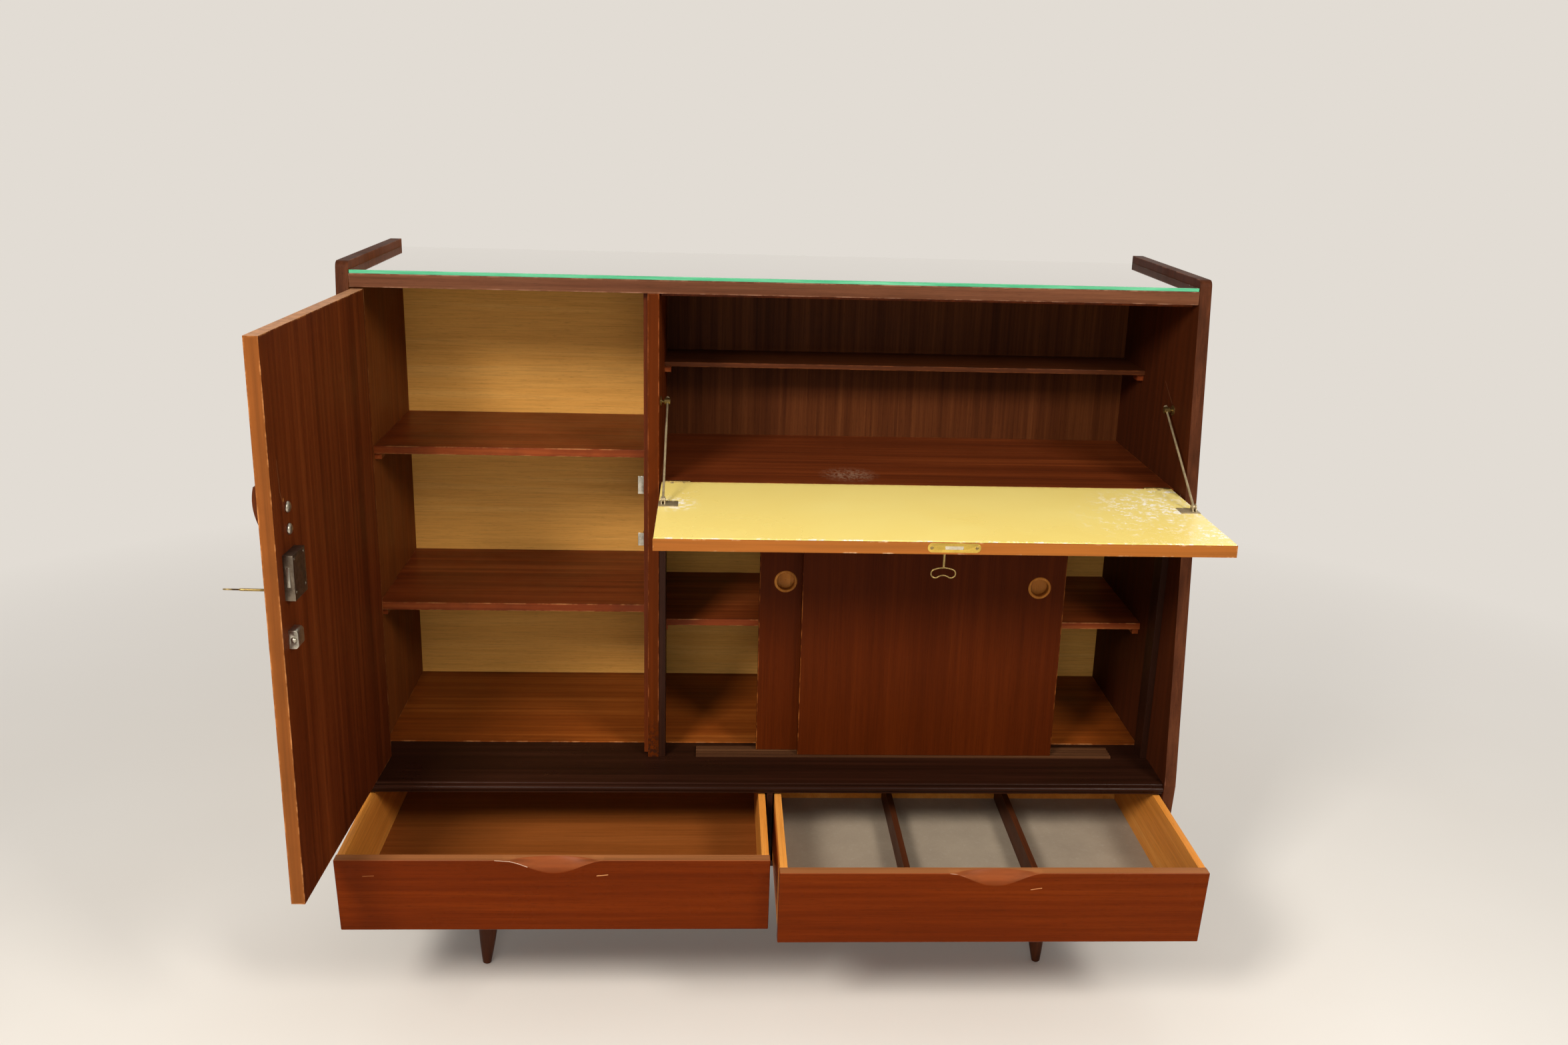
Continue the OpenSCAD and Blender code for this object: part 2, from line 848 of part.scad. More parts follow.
module door_panel()
    color("#4b1e0f")
        on_door()
            difference() {
                block([door_x0, door_x1], [0, door_t], [door_z0, door_z1]);
                at_door_hinges()
                    block([0, leaf_moving[1]], [0, leaf_w], [0, door_hinge_h]);
                rod_y(door_key_x, [-past, door_t + past], door_key_z, key_hole_r);
                for (z = around(handle_z, handle_pitch))
                    rod_y(handle_x, [-past, door_t + past], z, handle_screw_r + pin_fit);
            }

module door_hinge_leaves()
    color("#a08c50")
        on_door()
            at_door_hinges()
                hinge_half(door_hinge_h, knuckle_r, leaf_moving, leaf_w, true);

module door_lock() {
    cap = 1;
    screw_r = 2;
    screw_h = 0.8;
    screw_in = 6;
    x = [lock_x1 - lock_w, lock_x1];
    z = [lock_z0, lock_z0 + lock_h];
    color("#b4b0a0")
        on_door() {
            difference() {
                union() {
                    block(x + [cap, 0], [door_t, door_t + lock_t - cap], z);
                    block(x, [door_t + lock_t - cap, door_t + lock_t], z);
                    for (end = [z[0], z[1] - cap])
                        block(x, [door_t, door_t + lock_t], [end, end + cap]);
                    for (u = [x[0] + screw_in, x[1] - screw_in], v = [z[0] + 2 * screw_in, z[1] - screw_in])
                        rod_y(u, [door_t + lock_t - cap, door_t + lock_t + screw_h], v, screw_r);
                }
                block([lock_x1 - bolt_l - past, lock_x1 + past], around(bolt_y + bolt_t / 2, bolt_t + gap),
                      around(bolt_z, bolt_h + gap));
                rod_y(door_key_x, [door_t - past, door_t + key_depth + gap],
                      door_key_z, key_shaft_r + pin_fit);
            }
        }
}

module door_bolt()
    color("#a5a091")
        on_door()
            block([lock_x1 - bolt_l, lock_x1 - gap], [bolt_y, bolt_y + bolt_t],
                  [bolt_z - bolt_h / 2, bolt_z + bolt_h / 2]);

module door_catch() {
    round_r = 6;
    round_y = door_t + catch_t - round_r;
    z = around(catch_z, catch_l);
    color("#aaa696")
        on_door()
            difference() {
                along_x([lock_x1 - catch_w, lock_x1])
                    polygon(concat(
                        [[door_t, z[0]]],
                        arc([round_y, z[0] + round_r], round_r, 270, 360, 8),
                        arc([round_y, z[1] - round_r], round_r, 0, 90, 8),
                        [[door_t, z[1]]]
                    ));
                rod_x([ball_x - ball_r - ball_out - past, lock_x1 + past], ball_y, catch_z, ball_r + pin_fit);
            }
}

module catch_ball()
    color("#c8c3b4")
        on_door()
            translate([ball_x, ball_y, catch_z])
                sphere(r = ball_r);

// Arched wooden grip, thin at its lower end and cut off square at the top
module door_handle() {
    grip_w = 13;
    foot_r = 5.5;
    low_share = 0.45;
    crest_share = 0.72;
    tip_out = 5;
    low = handle_z - handle_l * low_share;
    crest = handle_l * crest_share;
    thick = 4.4;
    steps = 12;
    rise = [for (i = [0:steps]) handle_l * i / steps];
    outer = [for (w = rise) handle_out - (handle_out - tip_out) * pow((w - crest) / crest, 2)];
    inner = [for (i = [0:steps]) outer[i] - thick * (1 + i / steps)];
    outer_line = [for (i = [0:steps]) [-outer[i], low + rise[i]]];
    inner_line = [for (i = [steps:-1:0]) [-inner[i], low + rise[i]]];
    color("#7a3c1c")
        on_door()
            difference() {
                union() {
                    along_x([handle_x - grip_w / 2, handle_x + grip_w / 2])
                        polygon(concat(outer_line, inner_line));
                    for (z = around(handle_z, handle_pitch))
                        intersection() {
                            rod_y(handle_x, [-handle_out, 0], z, foot_r);
                            along_x([handle_x - grip_w, handle_x + grip_w])
                                polygon(concat([[0, low]], outer_line, [[0, low + handle_l]]));
                        }
                }
                for (z = around(handle_z, handle_pitch))
                    rod_y(handle_x, [-handle_screw_in, past], z, handle_screw_r);
            }
}

module door_handle_screws() {
    head_r = 8.5;
    head_h = 5.5;
    rim_h = 0.8;
    dome = [for (a = [15:15:75]) [head_r * cos(a), rim_h + (head_h - rim_h) * sin(a)]];
    color("#c8c3b4")
        on_door()
            for (z = around(handle_z, handle_pitch)) {
                rod_y(handle_x, [-handle_screw_in, door_t + rim_h], z, handle_screw_r);
                translate([handle_x, door_t, z])
                    rotate([-90, 0, 0])
                        rotate_extrude()
                            polygon(concat([[0, 0], [head_r, 0], [head_r, rim_h]], dome, [[0, head_h]]));
            }
}

// Outline of a key bow, grown by d: two end loops, an arch above them and a dent below
function bow_outline(d) =
    let (
        arch_a = atan2(bow_arch_drop, bow_half),
        dent_a = atan2(bow_dent_drop, bow_half)
    )
    concat(
        arc([bow_half, 0], bow_loop_r + d, dent_a - 180, arch_a, 16),
        arc([0, -bow_arch_drop], bow_arch_r + d, arch_a, 180 - arch_a, 8),
        arc([-bow_half, 0], bow_loop_r + d, 180 - arch_a, 360 - dent_a, 16),
        arc([0, -bow_dent_drop], bow_dent_r - d, 180 - dent_a, dent_a, 6)
    );

// Key along Z, with z = 0 where it enters the wood: its bow hangs below in the plane of X and Z
module key(inside, outside) {
    loop_z = -outside + bow_loop_r + bow_t / 2;
    arch_z = loop_z + bow_arch_r - bow_arch_drop;
    collar_r = 3.4;
    collar_h = 2.5;
    translate([0, 0, arch_z])
        cylinder(r = key_shaft_r, h = inside - arch_z);
    translate([0, 0, -gap - collar_h])
        cylinder(r = collar_r, h = collar_h);
    translate([0, bow_t / 2, loop_z])
        rotate([90, 0, 0])
            linear_extrude(bow_t)
                difference() {
                    polygon(bow_outline(bow_t / 2));
                    polygon(bow_outline(-bow_t / 2));
                }
}

module door_key()
    color("#8c7846")
        on_door()
            translate([door_key_x, 0, door_key_z])
                rotate([-90, 0, 0])
                    rotate([0, 0, -door_key_tilt])
                        key(door_t + key_depth, door_key_out);

module flap_hinge_leaves()
    color("#a08c50")
        placed()
            at_flap_hinges()
                flap_hinge_half(leaf_moving, true);

// Cuts that both layers of the flap have along the hinge edge
module flap_hinge_cuts()
    at_flap_hinges() {
        block([0, flap_hinge_l], [leaf_fixed[0], past], [-leaf_w, past]);
        rod_x([-gap, flap_hinge_l + gap], 0, 0, flap_knuckle_r + gap);
    }

module flap_panel()
    color("#aa6432")
        placed()
            difference() {
                block([flap_x0, flap_x1], [flap_front, hinge_y - seam / 2], [flap_z0, panel_z1]);
                flap_hinge_cuts();
                lock_plate_solid(past);
                lock_case_solid();
                translate([flap_key_x, flap_key_y, flap_z0 - past])
                    cylinder(r = key_hole_r, h = flap_t / 2);
            }

module flap_laminate()
    color("#ffe182")
        placed()
            difference() {
                block([flap_x0 + laminate_in, flap_x1 - laminate_in],
                      [flap_front + laminate_in, hinge_y - seam / 2], [panel_z1, bar_z]);
                flap_hinge_cuts();
            }

// Plate with round ends in the front edge of the flap, run out by extra in front of it
module lock_plate_solid(extra)
    translate([flap_lock_x, flap_front + lock_plate[2], flap_lock_z])
        rotate([90, 0, 0])
            linear_extrude(lock_plate[2] + extra) {
                half = (lock_plate[0] - lock_plate[1]) / 2;
                square([2 * half, lock_plate[1]], center = true);
                for (x = [-half, half])
                    translate([x, 0])
                        circle(d = lock_plate[1]);
            }

module lock_case_solid()
    translate([0, flap_front + lock_plate[2], 0])
        block(around(flap_lock_x, flap_case[0]), [0, flap_case[1]], around(flap_lock_z, flap_case[2]));

module flap_lock() {
    screw_pitch = 72;
    screw_r = 3.4;
    screw_h = 0.4;
    color("#cdaf4b")
        placed() {
            difference() {
                union() {
                    lock_plate_solid(0);
                    lock_case_solid();
                }
                block(around(flap_lock_x, flap_bolt[0] + gap),
                      [flap_front - past, flap_front + flap_bolt[1] + gap],
                      around(flap_lock_z, flap_bolt[2] + gap));
                translate([flap_key_x, flap_key_y, flap_z0])
                    cylinder(r = key_shaft_r + pin_fit, h = flap_lock_z - flap_z0 + flap_key_depth + gap);
            }
            for (x = around(flap_lock_x, screw_pitch))
                rod_y(x, [flap_front - screw_h, flap_front + lock_plate[2]], flap_lock_z, screw_r);
        }
}

module flap_bolt()
    color("#b49646")
        placed()
            block(around(flap_lock_x, flap_bolt[0]), [flap_front + gap, flap_front + flap_bolt[1]],
                  around(flap_lock_z, flap_bolt[2]));

module flap_key()
    color("#8c7846")
        placed()
            translate([flap_key_x, flap_key_y, flap_z0])
                key(flap_lock_z - flap_z0 + flap_key_depth, flap_key_out);

// Plate with two ears that hold the rod's lower pin
module stay_brackets() {
    plate_t = 1.5;
    plate_x = [-8, 25];
    plate_half = 16;
    ear_t = 1.5;
    ear_gap = 4.2;
    ear_r = 5.5;
    ear_base = 8;
    bracket_pin_r = 1.5;
    head_r = 2.6;
    head_t = 1.2;
    ear_out = ear_gap / 2 + ear_t;
    color("#6e643c")
        placed()
            for (i = [0, 1])
                at_upright(i)
                    translate([stay_inset, stay_pin[0], bar_z]) {
                        block(plate_x, [-plate_half, plate_half], [0, plate_t]);
                        for (x = [-ear_out, ear_gap / 2])
                            along_x([x, x + ear_t]) {
                                polygon([
                                    [-ear_base, 0], [ear_base, 0], [ear_r, stay_rise], [-ear_r, stay_rise],
                                ]);
                                translate([0, stay_rise])
                                    circle(r = ear_r);
                            }
                        rod_x([-ear_out - head_t, ear_out + head_t], 0, stay_rise, bracket_pin_r);
                        for (x = [-ear_out - head_t, ear_out])
                            rod_x([x, x + head_t], 0, stay_rise, head_r);
                    }
}

// Straight rod from the bracket pin through the eye, with a head on its upper end
module stay_rod(i) {
    ring_r = 4;
    ring_half = 1.8;
    bore_r = 1.55;
    tail = eye_r + gap;
    head_r = 3.5;
    head_l = 3;
    color("#968c64")
        placed()
            at_upright(i)
                translate([stay_inset, stay_pin[0], stay_pin[1]])
                    rotate([stay_angle - 90, 0, 0])
                        difference() {
                            union() {
                                rod_x([-ring_half, ring_half], 0, 0, ring_r);
                                cylinder(d = stay_d, h = stay_chord + tail + head_l);
                                translate([0, 0, stay_chord + tail])
                                    cylinder(r = head_r, h = head_l);
                            }
                            rod_x([-ring_half - past, ring_half + past], 0, 0, bore_r);
                        }
}

module stay_rod_left()
    stay_rod(0);

module stay_rod_right()
    stay_rod(1);

// Swivel eye on the upright, bored across for the rod
module stay_eye(i) {
    eye_fit = 0.1;
    color("#8c7846")
        placed()
            at_upright(i)
                translate([stay_inset, stay_pivot[0], stay_pivot[1]])
                    rotate([stay_angle - 90, 0, 0])
                        difference() {
                            rod_x([-eye_half, eye_half], 0, 0, eye_r);
                            translate([0, 0, -eye_r - past])
                                cylinder(r = stay_d / 2 + eye_fit, h = 2 * (eye_r + past));
                            rod_x([-eye_half - past, -eye_half + eye_bore_depth], 0, 0, base_pin_r + pin_fit);
                        }
}

module stay_eye_left()
    stay_eye(0);

module stay_eye_right()
    stay_eye(1);

// Door with a tongue along its top and bottom, bored for its pull
module slider(x0, y0, pull_x) {
    tongue_y = around(y0 + slider_t / 2, tongue_w);
    groove_floor = track_h - groove_depth + gap;
    difference() {
        union() {
            block([x0, x0 + slider_w], [y0, y0 + slider_t], [slider_z0, slider_z1]);
            block([x0, x0 + slider_w], tongue_y, [rail_z + groove_floor, head_z - groove_floor]);
        }
        rod_y(pull_x, [y0 - past, y0 + pull_bore], pull_z, pull_bore_r);
    }
}

// Turned ring with a dished floor, let into the bore with its rim on the face
module pull(y0, pull_x) {
    rim_h = 0.8;
    wall = 3;
    floor_t = 2;
    round_r = 1;
    dish_r = pull_bore_r - wall;
    dish_y = pull_bore - floor_t;
    translate([pull_x, y0, pull_z])
        rotate([-90, 0, 0])
            rotate_extrude()
                polygon([
                    [0, dish_y], [dish_r, dish_y - round_r], [dish_r, rim_h], [dish_r + round_r, -rim_h],
                    [pull_bore_r + pull_rim / 2, -rim_h], [pull_bore_r + pull_rim, 0], [pull_bore_r, 0],
                    [pull_bore_r, pull_bore], [0, pull_bore],
                ]);
}

module sliding_door_left()
    color("#4b200e")
        placed()
            slider(rear_x, slider_rear_y, rear_x + pull_in);

module sliding_door_right()
    color("#4b200e")
        placed()
            slider(front_x, slider_front_y, front_x + slider_w - pull_in);

module pull_left()
    color("#734614")
        placed()
            pull(slider_rear_y, rear_x + pull_in);

module pull_right()
    color("#734614")
        placed()
            pull(slider_front_y, front_x + slider_w - pull_in);

// Cut for a finger scoop: it dips on the front face and rises to the back of the top edge
module scoop_cut(scoop_w) {
    rim_t = 2;
    steps = 24;
    slope = atan2(scoop_d, drawer_front_t - rim_t);
    reach = 2 * scoop_d;
    translate([0, front_face(front_z1), front_z1])
        rotate([slope - 90, 0, 0])
            translate([0, 0, -reach])
                linear_extrude(2 * reach)
                    polygon(concat(
                        [[scoop_w / 2, -reach], [-scoop_w / 2, -reach]],
                        [for (i = [0:steps])
                            [scoop_w * (i / steps - 1 / 2),
                             (scoop_d * cos(slope) + gap) * (1 - cos(360 * i / steps)) / 2 - gap]]
                    ));
}

// Leaning drawer front with a finger scoop in its top edge
module drawer_front_shape(front, scoop_w)
    difference() {
        along_x(front)
            polygon([
                [front_face(front_z0), front_z0], [front_back(front_z0), front_z0],
                [front_back(front_z1), front_z1], [front_face(front_z1), front_z1],
            ]);
        translate([(front[0] + front[1]) / 2, 0, 0])
            scoop_cut(scoop_w);
    }

// Two sides and the back of a drawer, behind its front
module drawer_box_shape(front) {
    back_drop = 6;
    x = [front[0] + box_side_in, front[1] - box_side_in];
    for (x0 = [x[0], x[1] - drawer_side_t])
        along_x([x0, x0 + drawer_side_t])
            polygon([
                [front_back(box_z0), box_z0], [box_y1, box_z0],
                [box_y1, front_z1], [front_back(front_z1), front_z1],
            ]);
    block(x, [box_y1 - box_back_t, box_y1], [box_floor_z, front_z1 - back_drop]);
}

// Inside of a drawer between its sides
function box_inside(front) = [front[0] + box_side_in + drawer_side_t, front[1] - box_side_in - drawer_side_t];

// Flat piece on the drawer's inside, from the leaning front to y1
module drawer_sheet(x, z, y1)
    along_x(x)
        polygon([[front_back(z[0]), z[0]], [y1, z[0]], [y1, z[1]], [front_back(z[1]), z[1]]]);

module drawn(travel)
    placed()
        translate([0, -travel, 0])
            children();

module drawer_left_front()
    color("#6e2d0f")
        drawn(left_drawn)
            drawer_front_shape(left_front, left_scoop_w);

module drawer_left_box()
    color("#c89650")
        drawn(left_drawn)
            drawer_box_shape(left_front);

module drawer_left_bottom()
    color("#824b28")
        drawn(left_drawn)
            drawer_sheet(box_inside(left_front), [box_bottom_z, box_floor_z], box_y1);

module drawer_right_front()
    color("#6e2d0f")
        drawn(right_drawn)
            drawer_front_shape(right_front, right_scoop_w);

module drawer_right_box()
    color("#c89650")
        drawn(right_drawn)
            drawer_box_shape(right_front);

module drawer_right_bottom()
    color("#a08c78")
        drawn(right_drawn)
            drawer_sheet(box_inside(right_front), [box_bottom_z, box_floor_z], box_y1);

// Left faces of the right drawer's two dividers, which part it into three cells
function cell_walls() =
    let (first = box_inside(right_front)[0] + left_cell_w)
    [first, first + cell_t + middle_cell_w];

module drawer_dividers()
    color("#4b2814")
        drawn(right_drawn)
            for (x = cell_walls())
                drawer_sheet([x, x + cell_t], [box_floor_z, box_floor_z + cell_h], box_y1 - box_back_t);

module drawer_felt() {
    inside = box_inside(right_front);
    walls = cell_walls();
    color("#968c7d")
        drawn(right_drawn)
            for (x = [[inside[0], walls[0]], [walls[0] + cell_t, walls[1]], [walls[1] + cell_t, inside[1]]])
                drawer_sheet(x, [box_floor_z, box_floor_z + felt_t], box_y1 - box_back_t);
}

side_left();
side_right();
top_board();
glass_top();
divider();
base_panel();
base_rail();
ledge_moulding();
bar_floor();
back_panels();
bar_back();
shelf_upper();
shelf_lower();
bar_shelf();
cabinet_shelf();
shelf_supports();
stop_battens();
slider_frame();
sliding_tracks();
bottom_board();
drawer_partition();
drawer_runners();
legs();
door_hinge_fixed();
striker_plates();
flap_hinge_fixed();
flap_strike();
stay_pivots();
door_panel();
door_hinge_leaves();
door_lock();
door_catch();
door_handle();
door_handle_screws();
door_key();
door_bolt();
catch_ball();
flap_panel();
flap_laminate();
flap_lock();
flap_hinge_leaves();
stay_brackets();
flap_key();
flap_bolt();
stay_rod_left();
stay_rod_right();
stay_eye_left();
stay_eye_right();
sliding_door_left();
sliding_door_right();
pull_left();
pull_right();
drawer_left_front();
drawer_left_box();
drawer_left_bottom();
drawer_right_front();
drawer_right_box();
drawer_right_bottom();
drawer_felt();
drawer_dividers();
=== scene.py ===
"""Looks of the highboard: materials, detailed pieces, floor, light and camera."""
import json
import math

import bmesh
import bpy
from mathutils import Matrix, Vector


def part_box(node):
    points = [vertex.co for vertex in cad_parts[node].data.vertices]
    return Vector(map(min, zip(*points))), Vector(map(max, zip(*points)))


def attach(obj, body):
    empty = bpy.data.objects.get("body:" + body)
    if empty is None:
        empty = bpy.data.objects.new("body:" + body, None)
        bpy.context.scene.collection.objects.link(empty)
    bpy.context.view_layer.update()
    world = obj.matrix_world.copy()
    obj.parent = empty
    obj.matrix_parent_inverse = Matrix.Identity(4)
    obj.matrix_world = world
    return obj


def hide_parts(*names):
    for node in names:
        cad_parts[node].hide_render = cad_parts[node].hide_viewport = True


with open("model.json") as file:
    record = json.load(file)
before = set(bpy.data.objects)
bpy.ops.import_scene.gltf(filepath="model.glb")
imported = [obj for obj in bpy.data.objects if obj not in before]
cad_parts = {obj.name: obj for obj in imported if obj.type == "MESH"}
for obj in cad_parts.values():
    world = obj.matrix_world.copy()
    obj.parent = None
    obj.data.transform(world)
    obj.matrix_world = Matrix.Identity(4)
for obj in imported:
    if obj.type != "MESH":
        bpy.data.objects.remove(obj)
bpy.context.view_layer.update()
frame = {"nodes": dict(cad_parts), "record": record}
nodes = frame["nodes"]
scene = bpy.context.scene

# Design millimetres: the design frame's place in the shared frame, the door's hinge axis and thickness, the
# inner faces of the sides, and the top of the bar floor and the open flap
SHIFT = Vector((32.371, 45.9125, 0.0))
PIN = Vector((-728.25, -3.524, 0.0))
DOOR_T = 21
INNER_X = 729
FLAP_TOP = 941
DOOR_OPEN = math.radians(92)


def at(x, y, z):
    """Point of the design frame, in metres in the shared frame."""
    return (Vector((x, y, z)) + SHIFT) / 1000


def on_door(x, y, z):
    """Point on the closed door, moved to where the open door has it."""
    u, v = x - PIN.x, y - PIN.y
    c, s = math.cos(DOOR_OPEN), math.sin(DOOR_OPEN)
    return at(PIN.x + u * c + v * s, PIN.y - u * s + v * c, z)


def linear(rgb, share=1.0):
    """Linear colour of an 8-bit sRGB one, or of a share of it."""
    out = []
    for v in rgb:
        v = v * share / 255
        out.append(v / 12.92 if v <= 0.04045 else ((v + 0.055) / 1.055) ** 2.4)
    return (*out, 1.0)


class Shader:
    """Builds one material's nodes. Arguments are sockets or plain values."""

    def __init__(self, name, **sockets):
        self.mat = bpy.data.materials.new(name)
        self.mat.use_nodes = True
        self.tree = self.mat.node_tree
        self.bsdf = self.tree.nodes["Principled BSDF"]
        for key, value in sockets.items():
            self.bsdf.inputs[key.replace("_", " ")].default_value = value
        coords = self.node("TexCoord")
        self.place = coords.outputs["Object"]
        self.normal = coords.outputs["Normal"]

    def node(self, kind):
        return self.tree.nodes.new("ShaderNode" + kind)

    def put(self, socket, value):
        """Link a socket to another, or set it to a plain value."""
        if isinstance(value, bpy.types.NodeSocket):
            self.tree.links.new(value, socket)
        else:
            socket.default_value = value

    def math(self, op, a, b=0.0, clamp=False):
        node = self.node("Math")
        node.operation = op
        node.use_clamp = clamp
        for socket, value in zip(node.inputs, (a, b)):
            self.put(socket, value)
        return node.outputs[0]

    def vector(self, op, a, b=(0, 0, 0)):
        node = self.node("VectorMath")
        node.operation = op
        self.put(node.inputs[0], a)
        self.put(node.inputs[1], b)
        return node.outputs["Value" if op in ("DOT_PRODUCT", "LENGTH", "DISTANCE") else "Vector"]

    def split(self, vector):
        node = self.node("SeparateXYZ")
        self.put(node.inputs[0], vector)
        return node.outputs

    def stretch(self, vector, scale, offset=(0, 0, 0)):
        node = self.node("Mapping")
        self.put(node.inputs["Vector"], vector)
        node.inputs["Location"].default_value = offset
        node.inputs["Scale"].default_value = scale
        return node.outputs[0]

    def turned(self, vector, centre, angle):
        node = self.node("VectorRotate")
        node.rotation_type = "Z_AXIS"
        self.put(node.inputs["Vector"], vector)
        node.inputs["Center"].default_value = centre
        node.inputs["Angle"].default_value = angle
        return node.outputs[0]

    def noise(self, vector, scale, detail, rough=0.5, bend=0.0):
        node = self.node("TexNoise")
        self.put(node.inputs["Vector"], vector)
        node.inputs["Scale"].default_value = scale
        node.inputs["Detail"].default_value = detail
        node.inputs["Roughness"].default_value = rough
        node.inputs["Distortion"].default_value = bend
        return node.outputs["Fac"]

    def span(self, value, low, high, to_low=0.0, to_high=1.0):
        """The value's place between low and high, laid between two others and held there."""
        node = self.node("MapRange")
        for socket, v in zip(node.inputs, (value, low, high, to_low, to_high)):
            self.put(socket, v)
        return node.outputs[0]

    def mix(self, factor, a, b):
        """Colour from a, at factor 0, to b, at 1."""
        node = self.node("Mix")
        node.data_type = "RGBA"
        self.put(node.inputs[0], factor)
        self.put(node.inputs[6], a)
        self.put(node.inputs[7], b)
        return node.outputs[2]

    def facing(self, axis, limit):
        """1 on the faces that look along an axis of the piece, 0 where the cosine is under a limit."""
        return self.span(self.vector("DOT_PRODUCT", self.normal, axis), limit, limit + 0.2)

    def edge_distance(self, vector, low, high):
        """Distance on a box's faces to the nearest edge, in metres."""
        gaps = []
        for value, a, b in zip(self.split(vector), low, high):
            off = self.math("ABSOLUTE", self.math("SUBTRACT", value, (a + b) / 2))
            gaps.append(self.math("SUBTRACT", (b - a) / 2, off))
        x, y, z = gaps
        both = self.math("MINIMUM", self.math("MAXIMUM", x, y), z)
        return self.math("MAXIMUM", self.math("MINIMUM", x, y), both)

    def near(self, vector, spot, radius):
        """1 at a spot, falling to 0 from a quarter of a radius to all of it."""
        return self.span(self.vector("DISTANCE", vector, spot), radius, radius * 0.25)

    def stroke(self, vector, start, end, width):
        """1 along a straight scratch from start to end, falling to 0 from 0.4 of its width to all of it."""
        start, end = Vector(start), Vector(end)
        run = end - start
        from_start = self.vector("SUBTRACT", vector, tuple(start))
        share = self.math("DIVIDE", self.vector("DOT_PRODUCT", from_start, tuple(run)), run.length_squared,
                          clamp=True)
        scale = self.node("VectorMath")
        scale.operation = "SCALE"
        scale.inputs[0].default_value = run
        self.put(scale.inputs["Scale"], share)
        gap = self.vector("LENGTH", self.vector("SUBTRACT", from_start, scale.outputs[0]))
        return self.span(gap, width, width * 0.4)

    def both(self, a, b):
        """Product of two masks."""
        return self.math("MULTIPLY", a, b)

    def done(self, colour, roughness, height=None, depth=0.0):
        """Finish the material, with a bump of some depth in metres where it has a height."""
        self.put(self.bsdf.inputs["Base Color"], colour)
        self.put(self.bsdf.inputs["Roughness"], roughness)
        if height is not None:
            bump = self.node("Bump")
            bump.inputs["Distance"].default_value = depth
            bump.inputs["Strength"].default_value = 1.0
            self.put(bump.inputs["Height"], height)
            self.put(self.bsdf.inputs["Normal"], bump.outputs[0])
        return self.mat


# Where most of a noise's values lie
NOISE_SPAN = (0.3, 0.7)
GRAIN = {"X": (1, 0, 0), "Y": (0, 1, 0), "Z": (0, 0, 1)}
SEED_STEP = (1.7, 2.3, 3.1)
# Noise scales of wood, along and across the grain
WANDER, DRIFT, STREAK, FINE = (1.2, 5.0), (0.55, 16.0), (1.6, 95.0), (9.0, 420.0)
PORE, RUB = (60.0, 1500.0), (9.0, 40.0)
# Shares of each in the tone, and how far the tone reaches on both sides of its middle
BROAD_SHARE, STREAK_SHARE, WANDER_SHARE, TONE_REACH = 0.55, 0.45, 0.35, 0.30
# Metres from an arris: worn bare up to the first, not worn past the second, darker in patches up to the third
WORN_BARE, WORN_END, DARKEN_END = 0.0004, 0.0022, 0.035
# Bump depths in metres
WOOD_BUMP, METAL_BUMP, LAMINATE_BUMP, FELT_BUMP = 0.00012, 0.00005, 0.0001, 0.0006


